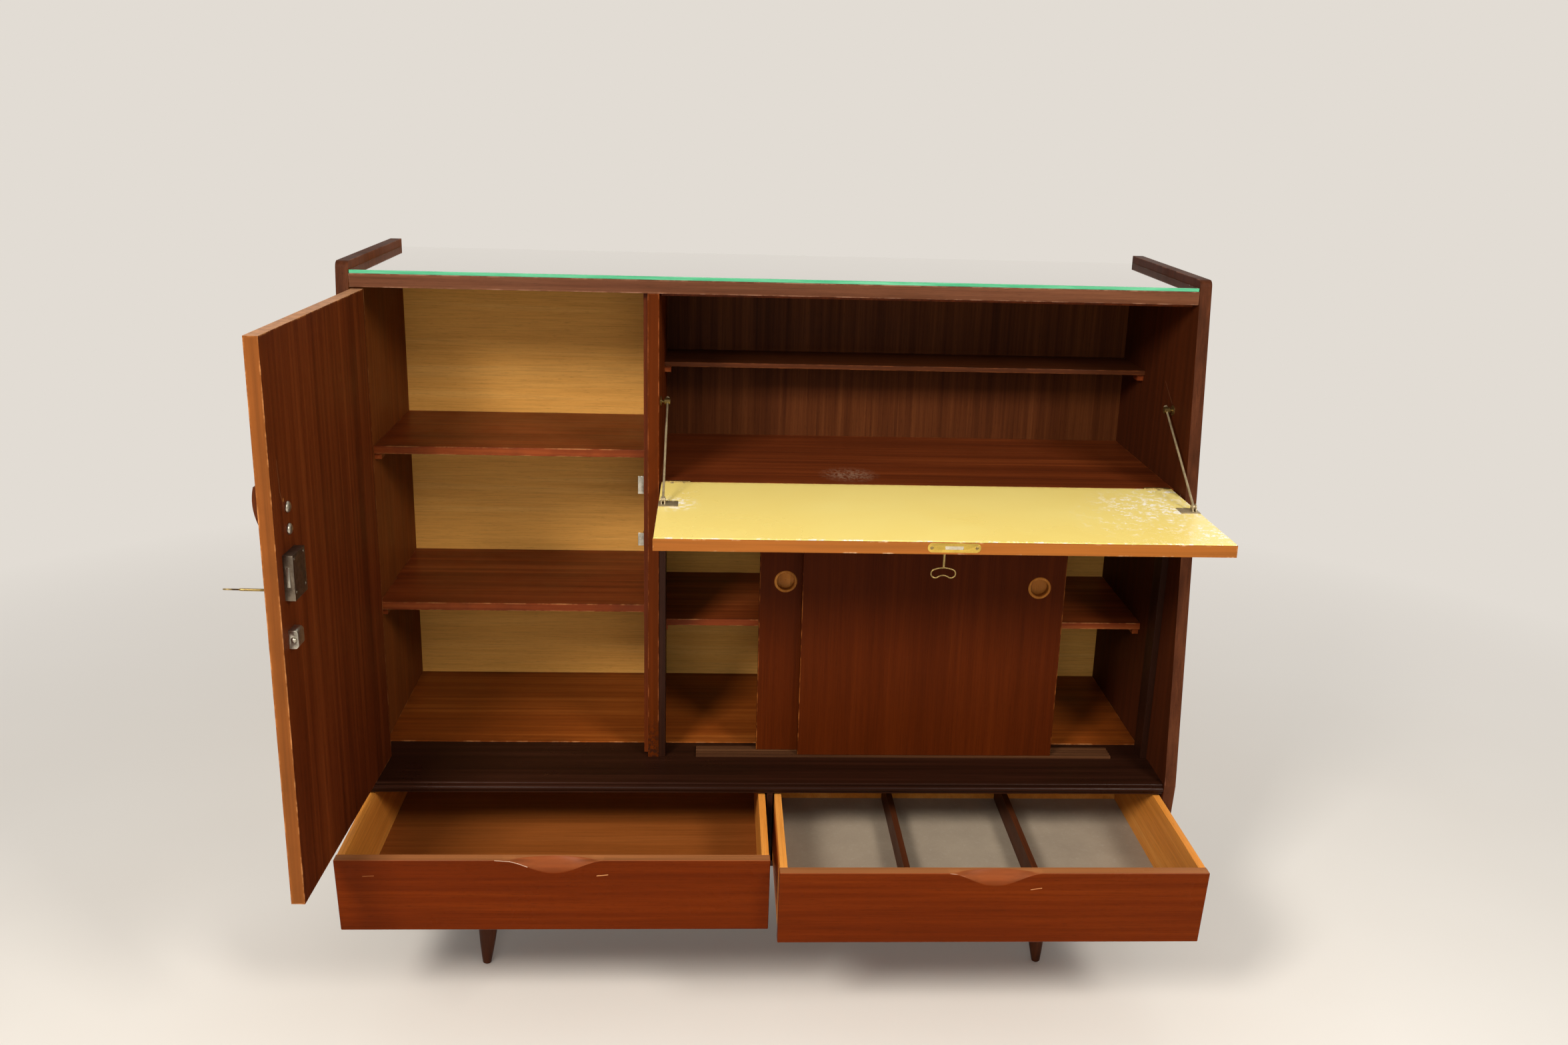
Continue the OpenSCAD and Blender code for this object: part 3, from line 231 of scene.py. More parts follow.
def wood(name, dark, mid, light, grain, seed, edges, gloss=0.38, figure=1.0, ribbon=0.35, pores=0.5,
         edge_tone=None, faces=(), turn=None, scuffs=0.0, spots=(), strokes=(), dirt=0.0, wear=(0.46, 0.62),
         shine=0.08):
    """Lacquered veneer: broad tone, growth streaks, fine ribbons and pores along the grain.

    edges is the box whose arrises are worn to edge_tone, or None; near them the wood can also darken in patches.
    faces are (axis, colour, limit) of edge veneers, and on the drawer fronts of paler faces that look up, partly
    painted light.
    spots are (point, radius, colour, strength) of chips, and on the divider of painted shade. strokes are
    (start, end, width, colour, strength) of scratches, and on the drawer fronts also of painted highlights. wear
    is the part of a noise over which an arris wears, and turn is (centre, angle) that lays a turned piece
    square.
    """
    s = Shader(name, Specular_IOR_Level=shine)
    place = s.turned(s.place, *turn) if turn else s.place
    offset = tuple(seed * step for step in SEED_STEP)

    def grained(scales, **settings):
        """Noise drawn out along the grain."""
        along, across = scales
        scale = tuple(along if on else across for on in GRAIN[grain])
        return s.noise(s.stretch(place, scale, offset), scale=1.0, **settings)

    wander = grained(WANDER, detail=3.0)
    broad = grained(DRIFT, detail=3.0, rough=0.5, bend=0.6)
    streak = grained(STREAK, detail=5.0, rough=0.55, bend=0.35)
    fine = grained(FINE, detail=3.0, rough=0.6)
    pore = s.span(grained(PORE, detail=2.0, rough=0.5), 0.60, 0.74)
    broad_part, streak_part = BROAD_SHARE * figure, STREAK_SHARE + ribbon
    tone = s.math("ADD", s.both(broad, broad_part), s.both(streak, streak_part))
    tone = s.math("ADD", tone, s.both(s.math("SUBTRACT", wander, 0.5), WANDER_SHARE * figure))
    middle = 0.5 * (broad_part + streak_part)
    lower = s.span(tone, middle - TONE_REACH, middle)
    upper = s.span(tone, middle, middle + TONE_REACH)
    colour = s.mix(upper, s.mix(lower, linear(dark), linear(mid)), linear(light))
    colour = s.mix(s.both(s.span(fine, 0.45, 0.75), 0.28), colour, linear(dark, 0.55))
    colour = s.mix(s.both(pore, pores), colour, linear(dark, 0.45))
    height = s.math("SUBTRACT", s.both(fine, 0.35), s.both(pore, 0.6 * pores))
    rough = s.span(s.noise(place, scale=7.0, detail=5.0, rough=0.6), *NOISE_SPAN, gloss - 0.06, gloss + 0.10)
    for axis, tint, limit in faces:
        if turn:
            axis = tuple(Matrix.Rotation(-turn[1], 3, "Z") @ Vector(axis))
        streaked = s.mix(s.span(streak, *NOISE_SPAN), linear(tint, 0.78), linear(tint))
        colour = s.mix(s.facing(axis, limit), colour, streaked)
    if edges:
        away = s.edge_distance(place, *edges)
        uneven = s.noise(place, scale=38.0, detail=5.0, rough=0.65)
        worn = s.both(s.span(away, WORN_END, WORN_BARE), s.span(uneven, *wear))
        colour = s.mix(s.both(worn, 0.7), colour, linear(edge_tone or light))
        height = s.math("SUBTRACT", height, s.both(worn, 0.8))
        # Darker wood in patches near the arrises, up to the last of the distances above
        if dirt:
            patchy = s.span(s.noise(place, scale=11.0, detail=4.0, rough=0.6), 0.40, 0.70)
            darker_near_edges = s.both(s.span(away, DARKEN_END, 0.0), patchy)
            colour = s.mix(s.both(darker_near_edges, dirt), colour, linear(dark, 0.4))
    if scuffs:
        rubbed = s.span(grained(RUB, detail=6.0, rough=0.7), 0.60, 0.74)
        where = s.span(s.noise(place, scale=5.0, detail=5.0, rough=0.7), 0.50, 0.64)
        marks = s.both(s.both(rubbed, where), scuffs)
        colour = s.mix(marks, colour, linear([min(255, v * 1.5 + 14) for v in mid]))
        rough = s.math("ADD", rough, s.both(marks, 0.2))
    # Chips, and on the divider a patch of painted shade
    for spot, radius, tint, strength in spots:
        ragged = s.span(s.noise(place, scale=160.0, detail=5.0, rough=0.7), 0.46, 0.56)
        mask = s.both(s.both(s.near(place, spot, radius), ragged), strength)
        colour = s.mix(mask, colour, linear(tint))
        rough = s.math("ADD", rough, s.both(mask, 0.25))
    # Scratches, and on the drawer fronts painted highlight lines
    for start, end, width, tint, strength in strokes:
        stroke_mask = s.both(s.stroke(s.place, start, end, width), strength)
        colour = s.mix(stroke_mask, colour, linear(tint))
    return s.done(colour, rough, height, WOOD_BUMP)


def metal(name, base, stain, roughness, stains, metallic=1.0):
    """Plated or bare metal with patches of tarnish, dark specks and fine rubbing marks."""
    s = Shader(name, Metallic=metallic)
    patch = s.noise(s.place, scale=95.0, detail=6.0, rough=0.68)
    speck = s.span(s.noise(s.place, scale=620.0, detail=3.0, rough=0.6), 0.56, 0.70)
    rub = s.noise(s.place, scale=900.0, detail=2.0, rough=0.6)
    cover = s.both(s.span(patch, 0.42, 0.66), stains)
    colour = s.mix(cover, linear(base), linear(stain))
    colour = s.mix(s.both(speck, 0.45 * stains), colour, linear(stain, 0.4))
    rough = s.math("ADD", s.span(patch, *NOISE_SPAN, roughness, roughness + 0.18), s.both(rub, 0.08))
    return s.done(colour, rough, s.math("ADD", s.both(rub, 0.3), s.both(speck, -0.5)), METAL_BUMP)


# Rubbed patches of the laminate: x and y in design millimetres, radius in metres, noise level where they start
RUBBED_PATCHES = (
    (-178, -122, 0.050, 0.38), (700, -118, 0.085, 0.42), (655, -95, 0.13, 0.47), (716, -250, 0.090, 0.43),
    (640, -160, 0.17, 0.53), (690, -15, 0.07, 0.50), (580, -110, 0.10, 0.60), (-180, -55, 0.05, 0.56),
)
# Depths in metres of its rubbed front rim and right end, and of the grime along its hinges
RIM_DEPTH, END_DEPTH, GRIME_DEPTH = 0.007, 0.010, 0.016


def laminate():
    """Yellow laminate with scuffs round the brackets, along the right end and on the front edge."""
    s = Shader("laminate_yellow", Specular_IOR_Level=0.5)
    low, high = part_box("flap_laminate")
    cloud = s.noise(s.place, scale=3.0, detail=4.0, rough=0.6)
    fleck = s.noise(s.place, scale=260.0, detail=3.0, rough=0.6)
    colour = s.mix(s.span(cloud, *NOISE_SPAN), linear((255, 229, 129)), linear((255, 235, 143)))
    colour = s.mix(s.both(s.span(fleck, 0.52, 0.72), 0.06), colour, linear((252, 222, 132)))
    along, inward, _ = s.split(s.place)
    ragged = s.noise(s.place, scale=55.0, detail=7.0, rough=0.72)
    grit = s.span(s.noise(s.place, scale=125.0, detail=6.0, rough=0.72), 0.505, 0.53)
    masks = [s.both(s.near(s.place, at(x, y, FLAP_TOP), radius), s.span(ragged, cut, cut + 0.08))
             for x, y, radius, cut in RUBBED_PATCHES]
    rim = s.span(s.math("SUBTRACT", inward, low.y), RIM_DEPTH, 0.0)
    masks.append(s.both(rim, s.span(ragged, 0.46, 0.56)))
    end = s.span(s.math("SUBTRACT", high.x, along), END_DEPTH, 0.0)
    masks.append(s.both(end, s.span(ragged, 0.44, 0.54)))
    worn = masks[0]
    for mask in masks[1:]:
        worn = s.math("MAXIMUM", worn, mask)
    worn = s.both(worn, grit)
    colour = s.mix(s.both(worn, 0.95), colour, linear((254, 252, 246)))
    grime = s.both(s.span(s.math("SUBTRACT", high.y, inward), GRIME_DEPTH, 0.0), s.span(ragged, 0.40, 0.60))
    colour = s.mix(s.both(grime, 0.30), colour, linear((165, 110, 52)))
    rough = s.math("ADD", s.span(cloud, *NOISE_SPAN, 0.24, 0.34), s.both(worn, 0.4))
    return s.done(colour, rough, s.both(worn, -0.04), LAMINATE_BUMP)


def felt():
    """Short worn pile with fibres, lint and paler rubbed patches."""
    s = Shader("felt_grey", Sheen_Weight=0.35, Sheen_Roughness=0.5, Sheen_Tint=(0.75, 0.70, 0.62, 1.0))
    fibre = s.noise(s.place, scale=900.0, detail=4.0, rough=0.7, bend=1.2)
    clump = s.noise(s.place, scale=120.0, detail=5.0, rough=0.6)
    wear = s.noise(s.place, scale=9.0, detail=4.0, rough=0.6)
    colour = s.mix(s.span(wear, *NOISE_SPAN), linear((144, 128, 108)), linear((162, 146, 124)))
    colour = s.mix(s.both(s.span(fibre, 0.4, 0.7), 0.4), colour, linear((112, 101, 88)))
    colour = s.mix(s.both(s.span(clump, 0.55, 0.75), 0.3), colour, linear((176, 166, 150)))
    return s.done(colour, 0.95, s.math("ADD", s.both(fibre, 0.7), s.both(clump, 0.5)), FELT_BUMP)


def glass(name, tint, roughness, smear_tint):
    """Float glass with a thin film of dust and wiping smears."""
    s = Shader(name, Transmission_Weight=0.9, IOR=1.5, Coat_Weight=1.0, Coat_Roughness=0.02, Coat_IOR=1.7)
    smear = s.noise(s.place, scale=16.0, detail=5.0, rough=0.6)
    colour = s.mix(s.span(smear, *NOISE_SPAN), linear(tint), linear(smear_tint))
    return s.done(colour, s.span(smear, 0.4, 0.7, roughness, roughness + 0.05))


def glass_edge():
    """Cut edge of float glass, where the light gathers green."""
    s = Shader("glass_edge", Transmission_Weight=0.35, IOR=1.5)
    wave = s.noise(s.stretch(s.place, (3.0, 3.0, 60.0)), scale=4.0, detail=4.0, rough=0.6)
    colour = s.mix(s.span(wave, *NOISE_SPAN), linear((70, 178, 128)), linear((122, 214, 168)))
    return s.done(colour, s.span(wave, *NOISE_SPAN, 0.10, 0.22))


# ---- wood of each board

# The closed door's box, and the turn that lays the open door back into it
DOOR_BOX = (tuple(at(-727.5, 0, 410)), tuple(at(-228.5, DOOR_T, 1277)))
DOOR_TURN = (tuple(at(PIN.x, PIN.y, 0)), DOOR_OPEN)
# Tones of the woods: dark, middle and light
DARK = ((48, 25, 14), (72, 38, 22), (96, 55, 33))
LEDGE = ((28, 13, 7), (43, 21, 12), (58, 31, 20))
RED = ((66, 25, 8), (92, 38, 12), (118, 54, 20))
SLIDER = ((56, 19, 3), (70, 25, 4), (84, 33, 6))
SHELF = ((88, 34, 12), (122, 54, 22), (156, 82, 38))
FLOOR = ((104, 46, 12), (134, 66, 20), (162, 90, 34))
BAR = ((52, 24, 10), (76, 38, 17), (98, 54, 26))
PLY = ((200, 142, 66), (216, 158, 78), (230, 176, 96))
BEECH = ((196, 116, 42), (222, 142, 58), (238, 168, 84))
PULL = ((128, 74, 22), (160, 98, 36), (190, 126, 54))
DRAWER_PLY = ((116, 60, 22), (140, 77, 31), (160, 92, 42))
# Tones of worn edges, edge veneers and bare wood
SIDE_EDGE = (128, 84, 66)
EDGE = (158, 92, 40)
PALE_EDGE = (190, 130, 78)
CHIP = (214, 178, 138)

mats = {}


def board(node, tones, grain, seed, **more):
    """Wood for one node, with its own grain and its own worn edges."""
    more.setdefault("edges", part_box(node))
    mats[node] = wood("wood_" + node, *tones, grain, seed, **more)


board("side_left", DARK, "Z", 1, edge_tone=SIDE_EDGE, gloss=0.50, dirt=0.1,
      faces=(((1, 0, 0), (116, 59, 22), 0.6),), shine=0.03)
board("side_right", DARK, "Z", 2, edge_tone=SIDE_EDGE, gloss=0.50, dirt=0.1, shine=0.03,
      faces=(((-1, 0, 0), (76, 34, 15), 0.6),),
      strokes=((at(INNER_X, -24, 938), at(INNER_X, -21, 930), 0.0011, (190, 165, 130), 0.8),
               (at(INNER_X, -19, 941), at(INNER_X, -16, 933), 0.0009, (190, 165, 130), 0.7),
               (at(INNER_X, 60, 1040), at(INNER_X, 20, 1008), 0.0006, (150, 105, 80), 0.7),
               (at(INNER_X, 130, 1120), at(INNER_X, 80, 1088), 0.0006, (140, 98, 75), 0.6)),
      spots=((at(INNER_X, 30, 1015), 0.004, (180, 150, 110), 0.9),
             (at(INNER_X, 90, 980), 0.003, (180, 150, 110), 0.8)))
board("top_board", ((58, 31, 19), (84, 49, 31), (108, 68, 46)), "X", 3, edge_tone=(150, 110, 88), gloss=0.36)
# The divider has painted shade at its lower front corner, by the sliding doors
divider_low, divider_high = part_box("divider")
board("divider", RED, "Z", 4, edge_tone=(150, 84, 44), faces=(((0, -1, 0), (86, 34, 4), 0.6),), shine=0.04,
      spots=(((divider_high.x, divider_low.y, divider_low.z), 0.09, (40, 19, 10), 0.85),))
board("base_panel", FLOOR, "X", 5, edge_tone=PALE_EDGE, dirt=0.5, pores=0.4)
board("base_rail", LEDGE, "X", 6, edge_tone=(120, 84, 66), gloss=0.30)
board("ledge_moulding", LEDGE, "X", 7, edges=None, gloss=0.30)
board("bar_floor", ((76, 31, 12), (106, 47, 19), (134, 66, 29)), "X", 8, edge_tone=EDGE, dirt=0.3,
      spots=((at(140, 90, FLAP_TOP), 0.06, (170, 140, 115), 0.45),))
board("back_panels", PLY, "X", 9, gloss=0.58, figure=0.8, ribbon=0.05, pores=0.35, edges=None)
board("bar_back", BAR, "Z", 10, ribbon=0.45, figure=0.6, gloss=0.40, edges=None, shine=0.03)
board("shelf_upper", SHELF, "X", 11, edge_tone=PALE_EDGE, dirt=0.5)
board("shelf_lower", SHELF, "X", 12, edge_tone=PALE_EDGE, dirt=0.5)
board("bar_shelf", ((60, 30, 14), (84, 42, 20), (106, 58, 30)), "X", 13, edge_tone=(120, 66, 34))
board("cabinet_shelf", SHELF, "X", 14, edge_tone=PALE_EDGE)
board("shelf_supports", SHELF, "Y", 15, edges=None)
board("stop_battens", RED, "Z", 16, edges=None)
board("slider_frame", LEDGE, "Z", 17, edges=None)
board("sliding_tracks", ((52, 30, 18), (78, 48, 29), (108, 72, 46)), "X", 18, edges=None, gloss=0.5,
      shine=0.03)
board("bottom_board", LEDGE, "X", 19)
board("drawer_partition", LEDGE, "Y", 20)
board("drawer_runners", BEECH, "Y", 21, edges=None, gloss=0.5)
board("legs", DARK, "Z", 22, edges=None, gloss=0.30, ribbon=0.2)
board("door_panel", ((60, 22, 7), (84, 34, 11), (108, 50, 19)), "Z", 23, edges=DOOR_BOX, turn=DOOR_TURN,
      scuffs=0.3, gloss=0.46, shine=0.04, edge_tone=PALE_EDGE, dirt=0.2,
      faces=(((1, 0, 0), (128, 72, 30), 0.6), ((0, 0, 1), (190, 138, 100), 0.6)),
      strokes=((on_door(-259, DOOR_T, 1098), on_door(-263, DOOR_T, 1050), 0.0007, (130, 88, 60), 0.6),
               (on_door(-263, DOOR_T, 1050), on_door(-271, DOOR_T, 1033), 0.0007, (130, 88, 60), 0.6),
               (on_door(-264, DOOR_T, 898), on_door(-264, DOOR_T, 903), 0.0012, (190, 120, 50), 0.8),
               (on_door(-274, DOOR_T, 1034), on_door(-274, DOOR_T, 1038), 0.0011, (200, 140, 70), 0.8)))
board("flap_panel", RED, "X", 24, faces=(((0, -1, 0), (150, 88, 34), 0.6),), edge_tone=CHIP, scuffs=0.3,
      wear=(0.56, 0.66))
board("sliding_door_left", SLIDER, "Z", 25, edge_tone=EDGE, ribbon=0.05, figure=0.8, pores=0.3, shine=0.03)
board("sliding_door_right", SLIDER, "Z", 26, edge_tone=EDGE, ribbon=0.05, figure=0.8, pores=0.3, shine=0.03)
board("pull_left", PULL, "Z", 27, edges=None, gloss=0.28)
board("pull_right", PULL, "Z", 28, edges=None, gloss=0.28)

# The drawer fronts' faces: y at their top, its height, and their lean, 1 mm in 9. Design millimetres
FRONT_Y = {"left": -331.2, "right": -371.2}
FRONT_TOP = 383
FRONT_LEAN = 1 / 9


def front_stroke(side, start, end, width, colour, strength):
    """Line on a drawer front, for its scratches and its painted highlights, between two (x, z) points in design
    millimetres.
    """
    ends = [at(x, FRONT_Y[side] + (FRONT_TOP - z) * FRONT_LEAN, z) for x, z in (start, end)]
    return (*ends, width, colour, strength)


# Painted highlight, a pale line on the right of each scoop's lip: width, colour and strength
LIP_PAINTED_HIGHLIGHT = (0.0008, (226, 198, 174), 0.5)
# Scratches on each drawer front, and the painted highlight along its lip
FRONT_SCRATCHES_AND_HIGHLIGHTS = {
    "left": (front_stroke("left", (-296, 352), (-278, 354), 0.0010, (196, 140, 90), 0.9),
             front_stroke("left", (-682, 351), (-664, 352), 0.0008, (170, 108, 62), 0.6),
             front_stroke("left", (-464, 382.4), (-440, 380.7), *LIP_PAINTED_HIGHLIGHT),
             front_stroke("left", (-440, 380.7), (-426, 376.3), *LIP_PAINTED_HIGHLIGHT),
             front_stroke("left", (-426, 376.3), (-411, 369.7), *LIP_PAINTED_HIGHLIGHT)),
    "right": (front_stroke("right", (428, 350), (446, 353), 0.0009, (190, 130, 84), 0.9),
              front_stroke("right", (290, 382.6), (305, 380.2), *LIP_PAINTED_HIGHLIGHT),
              front_stroke("right", (305, 380.2), (318, 375.0), *LIP_PAINTED_HIGHLIGHT)),
}
board("door_handle", ((70, 30, 12), (100, 48, 20), (134, 74, 34)), "Z", 29, edges=None, gloss=0.28)
for side, seed in (("left", 30), ("right", 40)):
    # Faces that look up, the top edge and the scoop, are paler: the cut wood's own tone, with painted light the
    # more they face up
    board(f"drawer_{side}_front", ((76, 25, 3), (90, 32, 4), (104, 41, 7)), "X", seed, edges=None, gloss=0.30,
          faces=(((0, 0, 1), (134, 70, 36), 0.25), ((0, 0, 1), (168, 106, 62), 0.8)), scuffs=0.05,
          strokes=FRONT_SCRATCHES_AND_HIGHLIGHTS[side], shine=0.03)
    board(f"drawer_{side}_box", BEECH, "Y", seed + 1, edges=None, gloss=0.42, ribbon=0.15, pores=0.3)
board("drawer_left_bottom", DRAWER_PLY, "X", 32, edges=None, gloss=0.40, ribbon=0.1, pores=0.3, shine=0.04)
board("drawer_right_bottom", DRAWER_PLY, "X", 42, edges=None, gloss=0.5)
board("drawer_dividers", ((50, 24, 12), (76, 38, 20), (98, 54, 30)), "Y", 43, edges=None)

# ---- metal, felt, laminate and glass

nickel = metal("nickel", (196, 190, 176), (120, 106, 84), roughness=0.24, stains=0.55)
steel = metal("aged_steel", (178, 162, 128), (110, 92, 66), roughness=0.36, stains=0.55, metallic=0.55)
case_steel = metal("case_steel", (122, 110, 96), (78, 62, 48), roughness=0.30, stains=0.6)
old_brass = metal("old_brass", (168, 144, 90), (92, 70, 40), roughness=0.34, stains=0.65)
bright_brass = metal("bright_brass", (226, 192, 92), (176, 140, 60), roughness=0.30, stains=0.35)
bolt_brass = metal("bolt_brass", (236, 226, 200), (190, 160, 110), roughness=0.18, stains=0.4)
mats["door_lock"] = case_steel
for name in ("door_catch", "door_handle_screws", "door_bolt", "catch_ball", "striker_plates", "flap_strike"):
    mats[name] = nickel
for name in ("stay_rod_left", "stay_rod_right", "stay_brackets"):
    mats[name] = steel
for name in ("door_hinge_fixed", "door_hinge_leaves", "flap_hinge_fixed", "flap_hinge_leaves", "stay_pivots",
             "stay_eye_left", "stay_eye_right", "door_key", "flap_key"):
    mats[name] = old_brass
mats["flap_lock"] = bright_brass
mats["flap_bolt"] = bolt_brass
mats["flap_laminate"] = laminate()
mats["drawer_felt"] = felt()
mats["glass_top"] = glass("glass_face", tint=(252, 241, 228), roughness=0.02, smear_tint=(246, 233, 218))
glass_rim = glass_edge()

# ---- the CAD nodes take their materials, and the pieces their bodies

slot_names = {entry["node"]: entry["material_slot"] for entry in frame["record"]["subparts"]}
body_of = {n: body for body, members in frame["record"]["behaviour"]["bodies"].items() for n in members}

for node, mat in mats.items():
    nodes[node].data.materials.clear()
    nodes[node].data.materials.append(mat)

missing = sorted(set(nodes) - set(mats))
if missing:
    raise SystemExit(f"no material for {missing}")


def new_piece(name, mesh, body, slot, *materials):
    """Piece that rides on a body and takes the given materials. The slot is not used."""
    obj = bpy.data.objects.new(name, mesh)
    scene.collection.objects.link(obj)
    for mat in materials:
        obj.data.materials.append(mat)
    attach(obj, body)
    return obj


def finish_mesh(bm, name, smooth_angle=None):
    """Mesh of the bmesh, flat, or smooth up to an angle in degrees."""
    bmesh.ops.recalc_face_normals(bm, faces=bm.faces)
    for face in bm.faces:
        face.smooth = smooth_angle is not None
    mesh = bpy.data.meshes.new(name)
    bm.to_mesh(mesh)
    bm.free()
    if smooth_angle is not None:
        mesh.set_sharp_from_angle(angle=math.radians(smooth_angle))
    return mesh


# Arrises sharper than this are eased or rounded, the eased ones by a width in metres
SHARP = math.radians(28)
EASE_W = 0.0009


def cleaned(node):
    """The node's mesh in bmesh, without doubled points and the seams in flat faces."""
    bm = bmesh.new()
    bm.from_mesh(nodes[node].data)
    bmesh.ops.remove_doubles(bm, verts=bm.verts, dist=1e-6)
    bmesh.ops.dissolve_limit(bm, angle_limit=math.radians(1), verts=bm.verts, edges=bm.edges)
    return bm


def sharp_edges(bm):
    return [e for e in bm.edges if len(e.link_faces) == 2 and e.calc_face_angle(0) > SHARP]


def stand_in(node, suffix, bm, smooth):
    """Piece of the bmesh, with the node's body and material."""
    for face in bm.faces:
        face.smooth = smooth
    mesh = nodes[node].data.copy()
    bm.to_mesh(mesh)
    bm.free()
    return new_piece(node + suffix, mesh, body_of[node], slot_names[node])


def eased(node):
    """Replace a node by a copy with small real bevels on its arrises."""
    bm = cleaned(node)
    bmesh.ops.bevel(bm, geom=sharp_edges(bm), offset=EASE_W, offset_type="OFFSET", segments=2, profile=0.6,
                    affect="EDGES", clamp_overlap=True)
    piece = stand_in(node, "_eased", bm, False)
    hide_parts(node)


def rounded(node, width, segments):
    """Replace a node by a copy with rounded arrises and smooth normals."""
    bm = cleaned(node)
    weight = bm.edges.layers.float.new("bevel_weight_edge")
    for edge in sharp_edges(bm):
        edge[weight] = 1.0
    piece = stand_in(node, "_rounded", bm, True)
    soften = piece.modifiers.new("soften", "BEVEL")
    soften.width = width
    soften.segments = segments
    soften.limit_method = "WEIGHT"
    soften.use_clamp_overlap = True
    soften.harden_normals = True
    depsgraph = bpy.context.evaluated_depsgraph_get()
    piece.data = bpy.data.meshes.new_from_object(piece.evaluated_get(depsgraph))
    piece.modifiers.clear()
    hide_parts(node)


# ---- boards with eased arrises, then metal cases, plates and the door handle with rounded ones

for node in ("side_left", "side_right", "top_board", "divider", "base_panel", "bar_floor", "shelf_upper",
             "shelf_lower", "bar_shelf", "cabinet_shelf", "door_panel", "flap_panel", "sliding_door_left",
             "sliding_door_right", "drawer_left_box", "drawer_right_box", "drawer_dividers", "slider_frame"):
    eased(node)
for node in ("door_lock", "door_catch", "striker_plates", "stay_brackets", "flap_lock", "door_bolt"):
    rounded(node, width=0.0004, segments=2)
rounded("door_handle", width=0.0014, segments=4)

# ---- drawer fronts, whose finger scoops roll over from the top edge to a lip on the face

# Metres: depth of a scoop, how far its lip rolls over the face, and the arris of the rest of the front
SCOOP_DEPTH, SCOOP_RUN, ARRIS = 0.027, 0.016, 0.0010
# Middle and half width of each scoop
SCOOPS = {"left": (at(-367.25, 0, 0).x, 0.085), "right": (at(367.25, 0, 0).x, 0.080)}
# Fullness of the roll, from 1 for an ellipse, and the rows of points under the lip
LIP_ROLL, ROWS_UNDER = 1.12, (0.0012, 0.004)
SIDE_STEPS, SCOOP_STEPS, ROLL_STEPS = 8, 30, 12


def front_piece(side):
    """Replace a drawer front by rings of points across it, from its left end to its right."""
    node = f"drawer_{side}_front"
    middle, half = SCOOPS[side]
    low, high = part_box(node)
    points = [v.co for v in nodes[node].data.vertices]
    foot = [p.y for p in points if p.z < low.z + 1e-4]
    top = [p.y for p in points if p.z > high.z - 1e-4]
    front_line, back_line = (min(foot), min(top)), (max(foot), max(top))

    def face(z, line):
        """The leaning face's y at a height."""
        return line[0] + (line[1] - line[0]) * (z - low.z) / (high.z - low.z)

    left_run, right_run = middle - half - low.x, high.x - ARRIS - middle - half
    stations = [low.x, low.x + ARRIS]
    stations += [low.x + ARRIS + left_run * i / SIDE_STEPS for i in range(1, SIDE_STEPS)]
    stations += [middle + half * i / SCOOP_STEPS for i in range(-SCOOP_STEPS, SCOOP_STEPS + 1)]
    stations += [middle + half + right_run * i / SIDE_STEPS for i in range(1, SIDE_STEPS)]
    stations += [high.x - ARRIS, high.x]
    rings = []
    for x in stations:
        off = min(abs(x - middle) / half, 1.0)
        share = 0.5 * (1 + math.cos(math.pi * off))
        deep = ARRIS + (SCOOP_DEPTH - ARRIS) * share
        run = ARRIS + (SCOOP_RUN - ARRIS) * math.sqrt(share)
        ring = [(face(low.z, front_line) + ARRIS, low.z), (face(low.z, back_line) - ARRIS, low.z),
                (face(low.z, back_line), low.z + ARRIS), (face(high.z, back_line), high.z - ARRIS * 0.5),
                (face(high.z, back_line) - ARRIS * 0.5, high.z)]
        for i in range(ROLL_STEPS + 1):
            t = math.pi / 2 * i / ROLL_STEPS
            z = high.z - deep + deep * math.cos(t) ** (2 / LIP_ROLL)
            ring.append((face(z, front_line) + run * (1 - math.sin(t) ** (2 / LIP_ROLL)), z))
        for below in ROWS_UNDER:
            ring.append((face(high.z - deep - below, front_line), high.z - deep - below))
        ring.append((face(low.z + ARRIS, front_line), low.z + ARRIS))
        if x in (low.x, high.x):
            mid_z = (low.z + high.z) / 2
            mid_y = (face(mid_z, front_line) + face(mid_z, back_line)) / 2
            ring = [(y + math.copysign(min(ARRIS, abs(mid_y - y)), mid_y - y),
                     z + math.copysign(min(ARRIS, abs(mid_z - z)), mid_z - z)) for y, z in ring]
        rings.append([(x, y, z) for y, z in ring])
    bm = bmesh.new()
    made = [[bm.verts.new(p) for p in ring] for ring in rings]
    for left, right in zip(made, made[1:]):
        for i in range(len(left)):
            j = (i + 1) % len(left)
            bm.faces.new((left[i], left[j], right[j], right[i]))
    bm.faces.new(made[0])
    bm.faces.new(made[-1][::-1])
    name = node + "_rolled"
    mesh = finish_mesh(bm, name, smooth_angle=24)
    piece = new_piece(name, mesh, body_of[node], slot_names[node], mats[node])
    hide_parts(node)


front_piece("left")
front_piece("right")


def basis(origin, out, side):
    """Frame with Z along out and X near side, for a piece made about its own Z axis in millimetres."""
    z = Vector(out).normalized()
    x = (Vector(side) - z * z.dot(Vector(side))).normalized()
    y = z.cross(x)
    place = Matrix((x, y, z)).transposed().to_4x4()
    place.translation = origin
    return place @ Matrix.Scale(0.001, 4)


def lathe(bm, profile, place, segments):
    """Closed turned body. The profile is (radius, height) from axis to axis."""
    rings = []
    for radius, height in profile:
        if radius == 0:
            rings.append([bm.verts.new(place @ Vector((0, 0, height)))] * segments)
            continue
        turns = (2 * math.pi * i / segments for i in range(segments))
        rings.append([bm.verts.new(place @ Vector((radius * math.cos(t), radius * math.sin(t), height)))
                      for t in turns])
    for lower, upper in zip(rings, rings[1:]):
        for i in range(segments):
            j = (i + 1) % segments
            ring = []
            for vert in (lower[i], lower[j], upper[j], upper[i]):
                if vert not in ring:
                    ring.append(vert)
            bm.faces.new(ring)


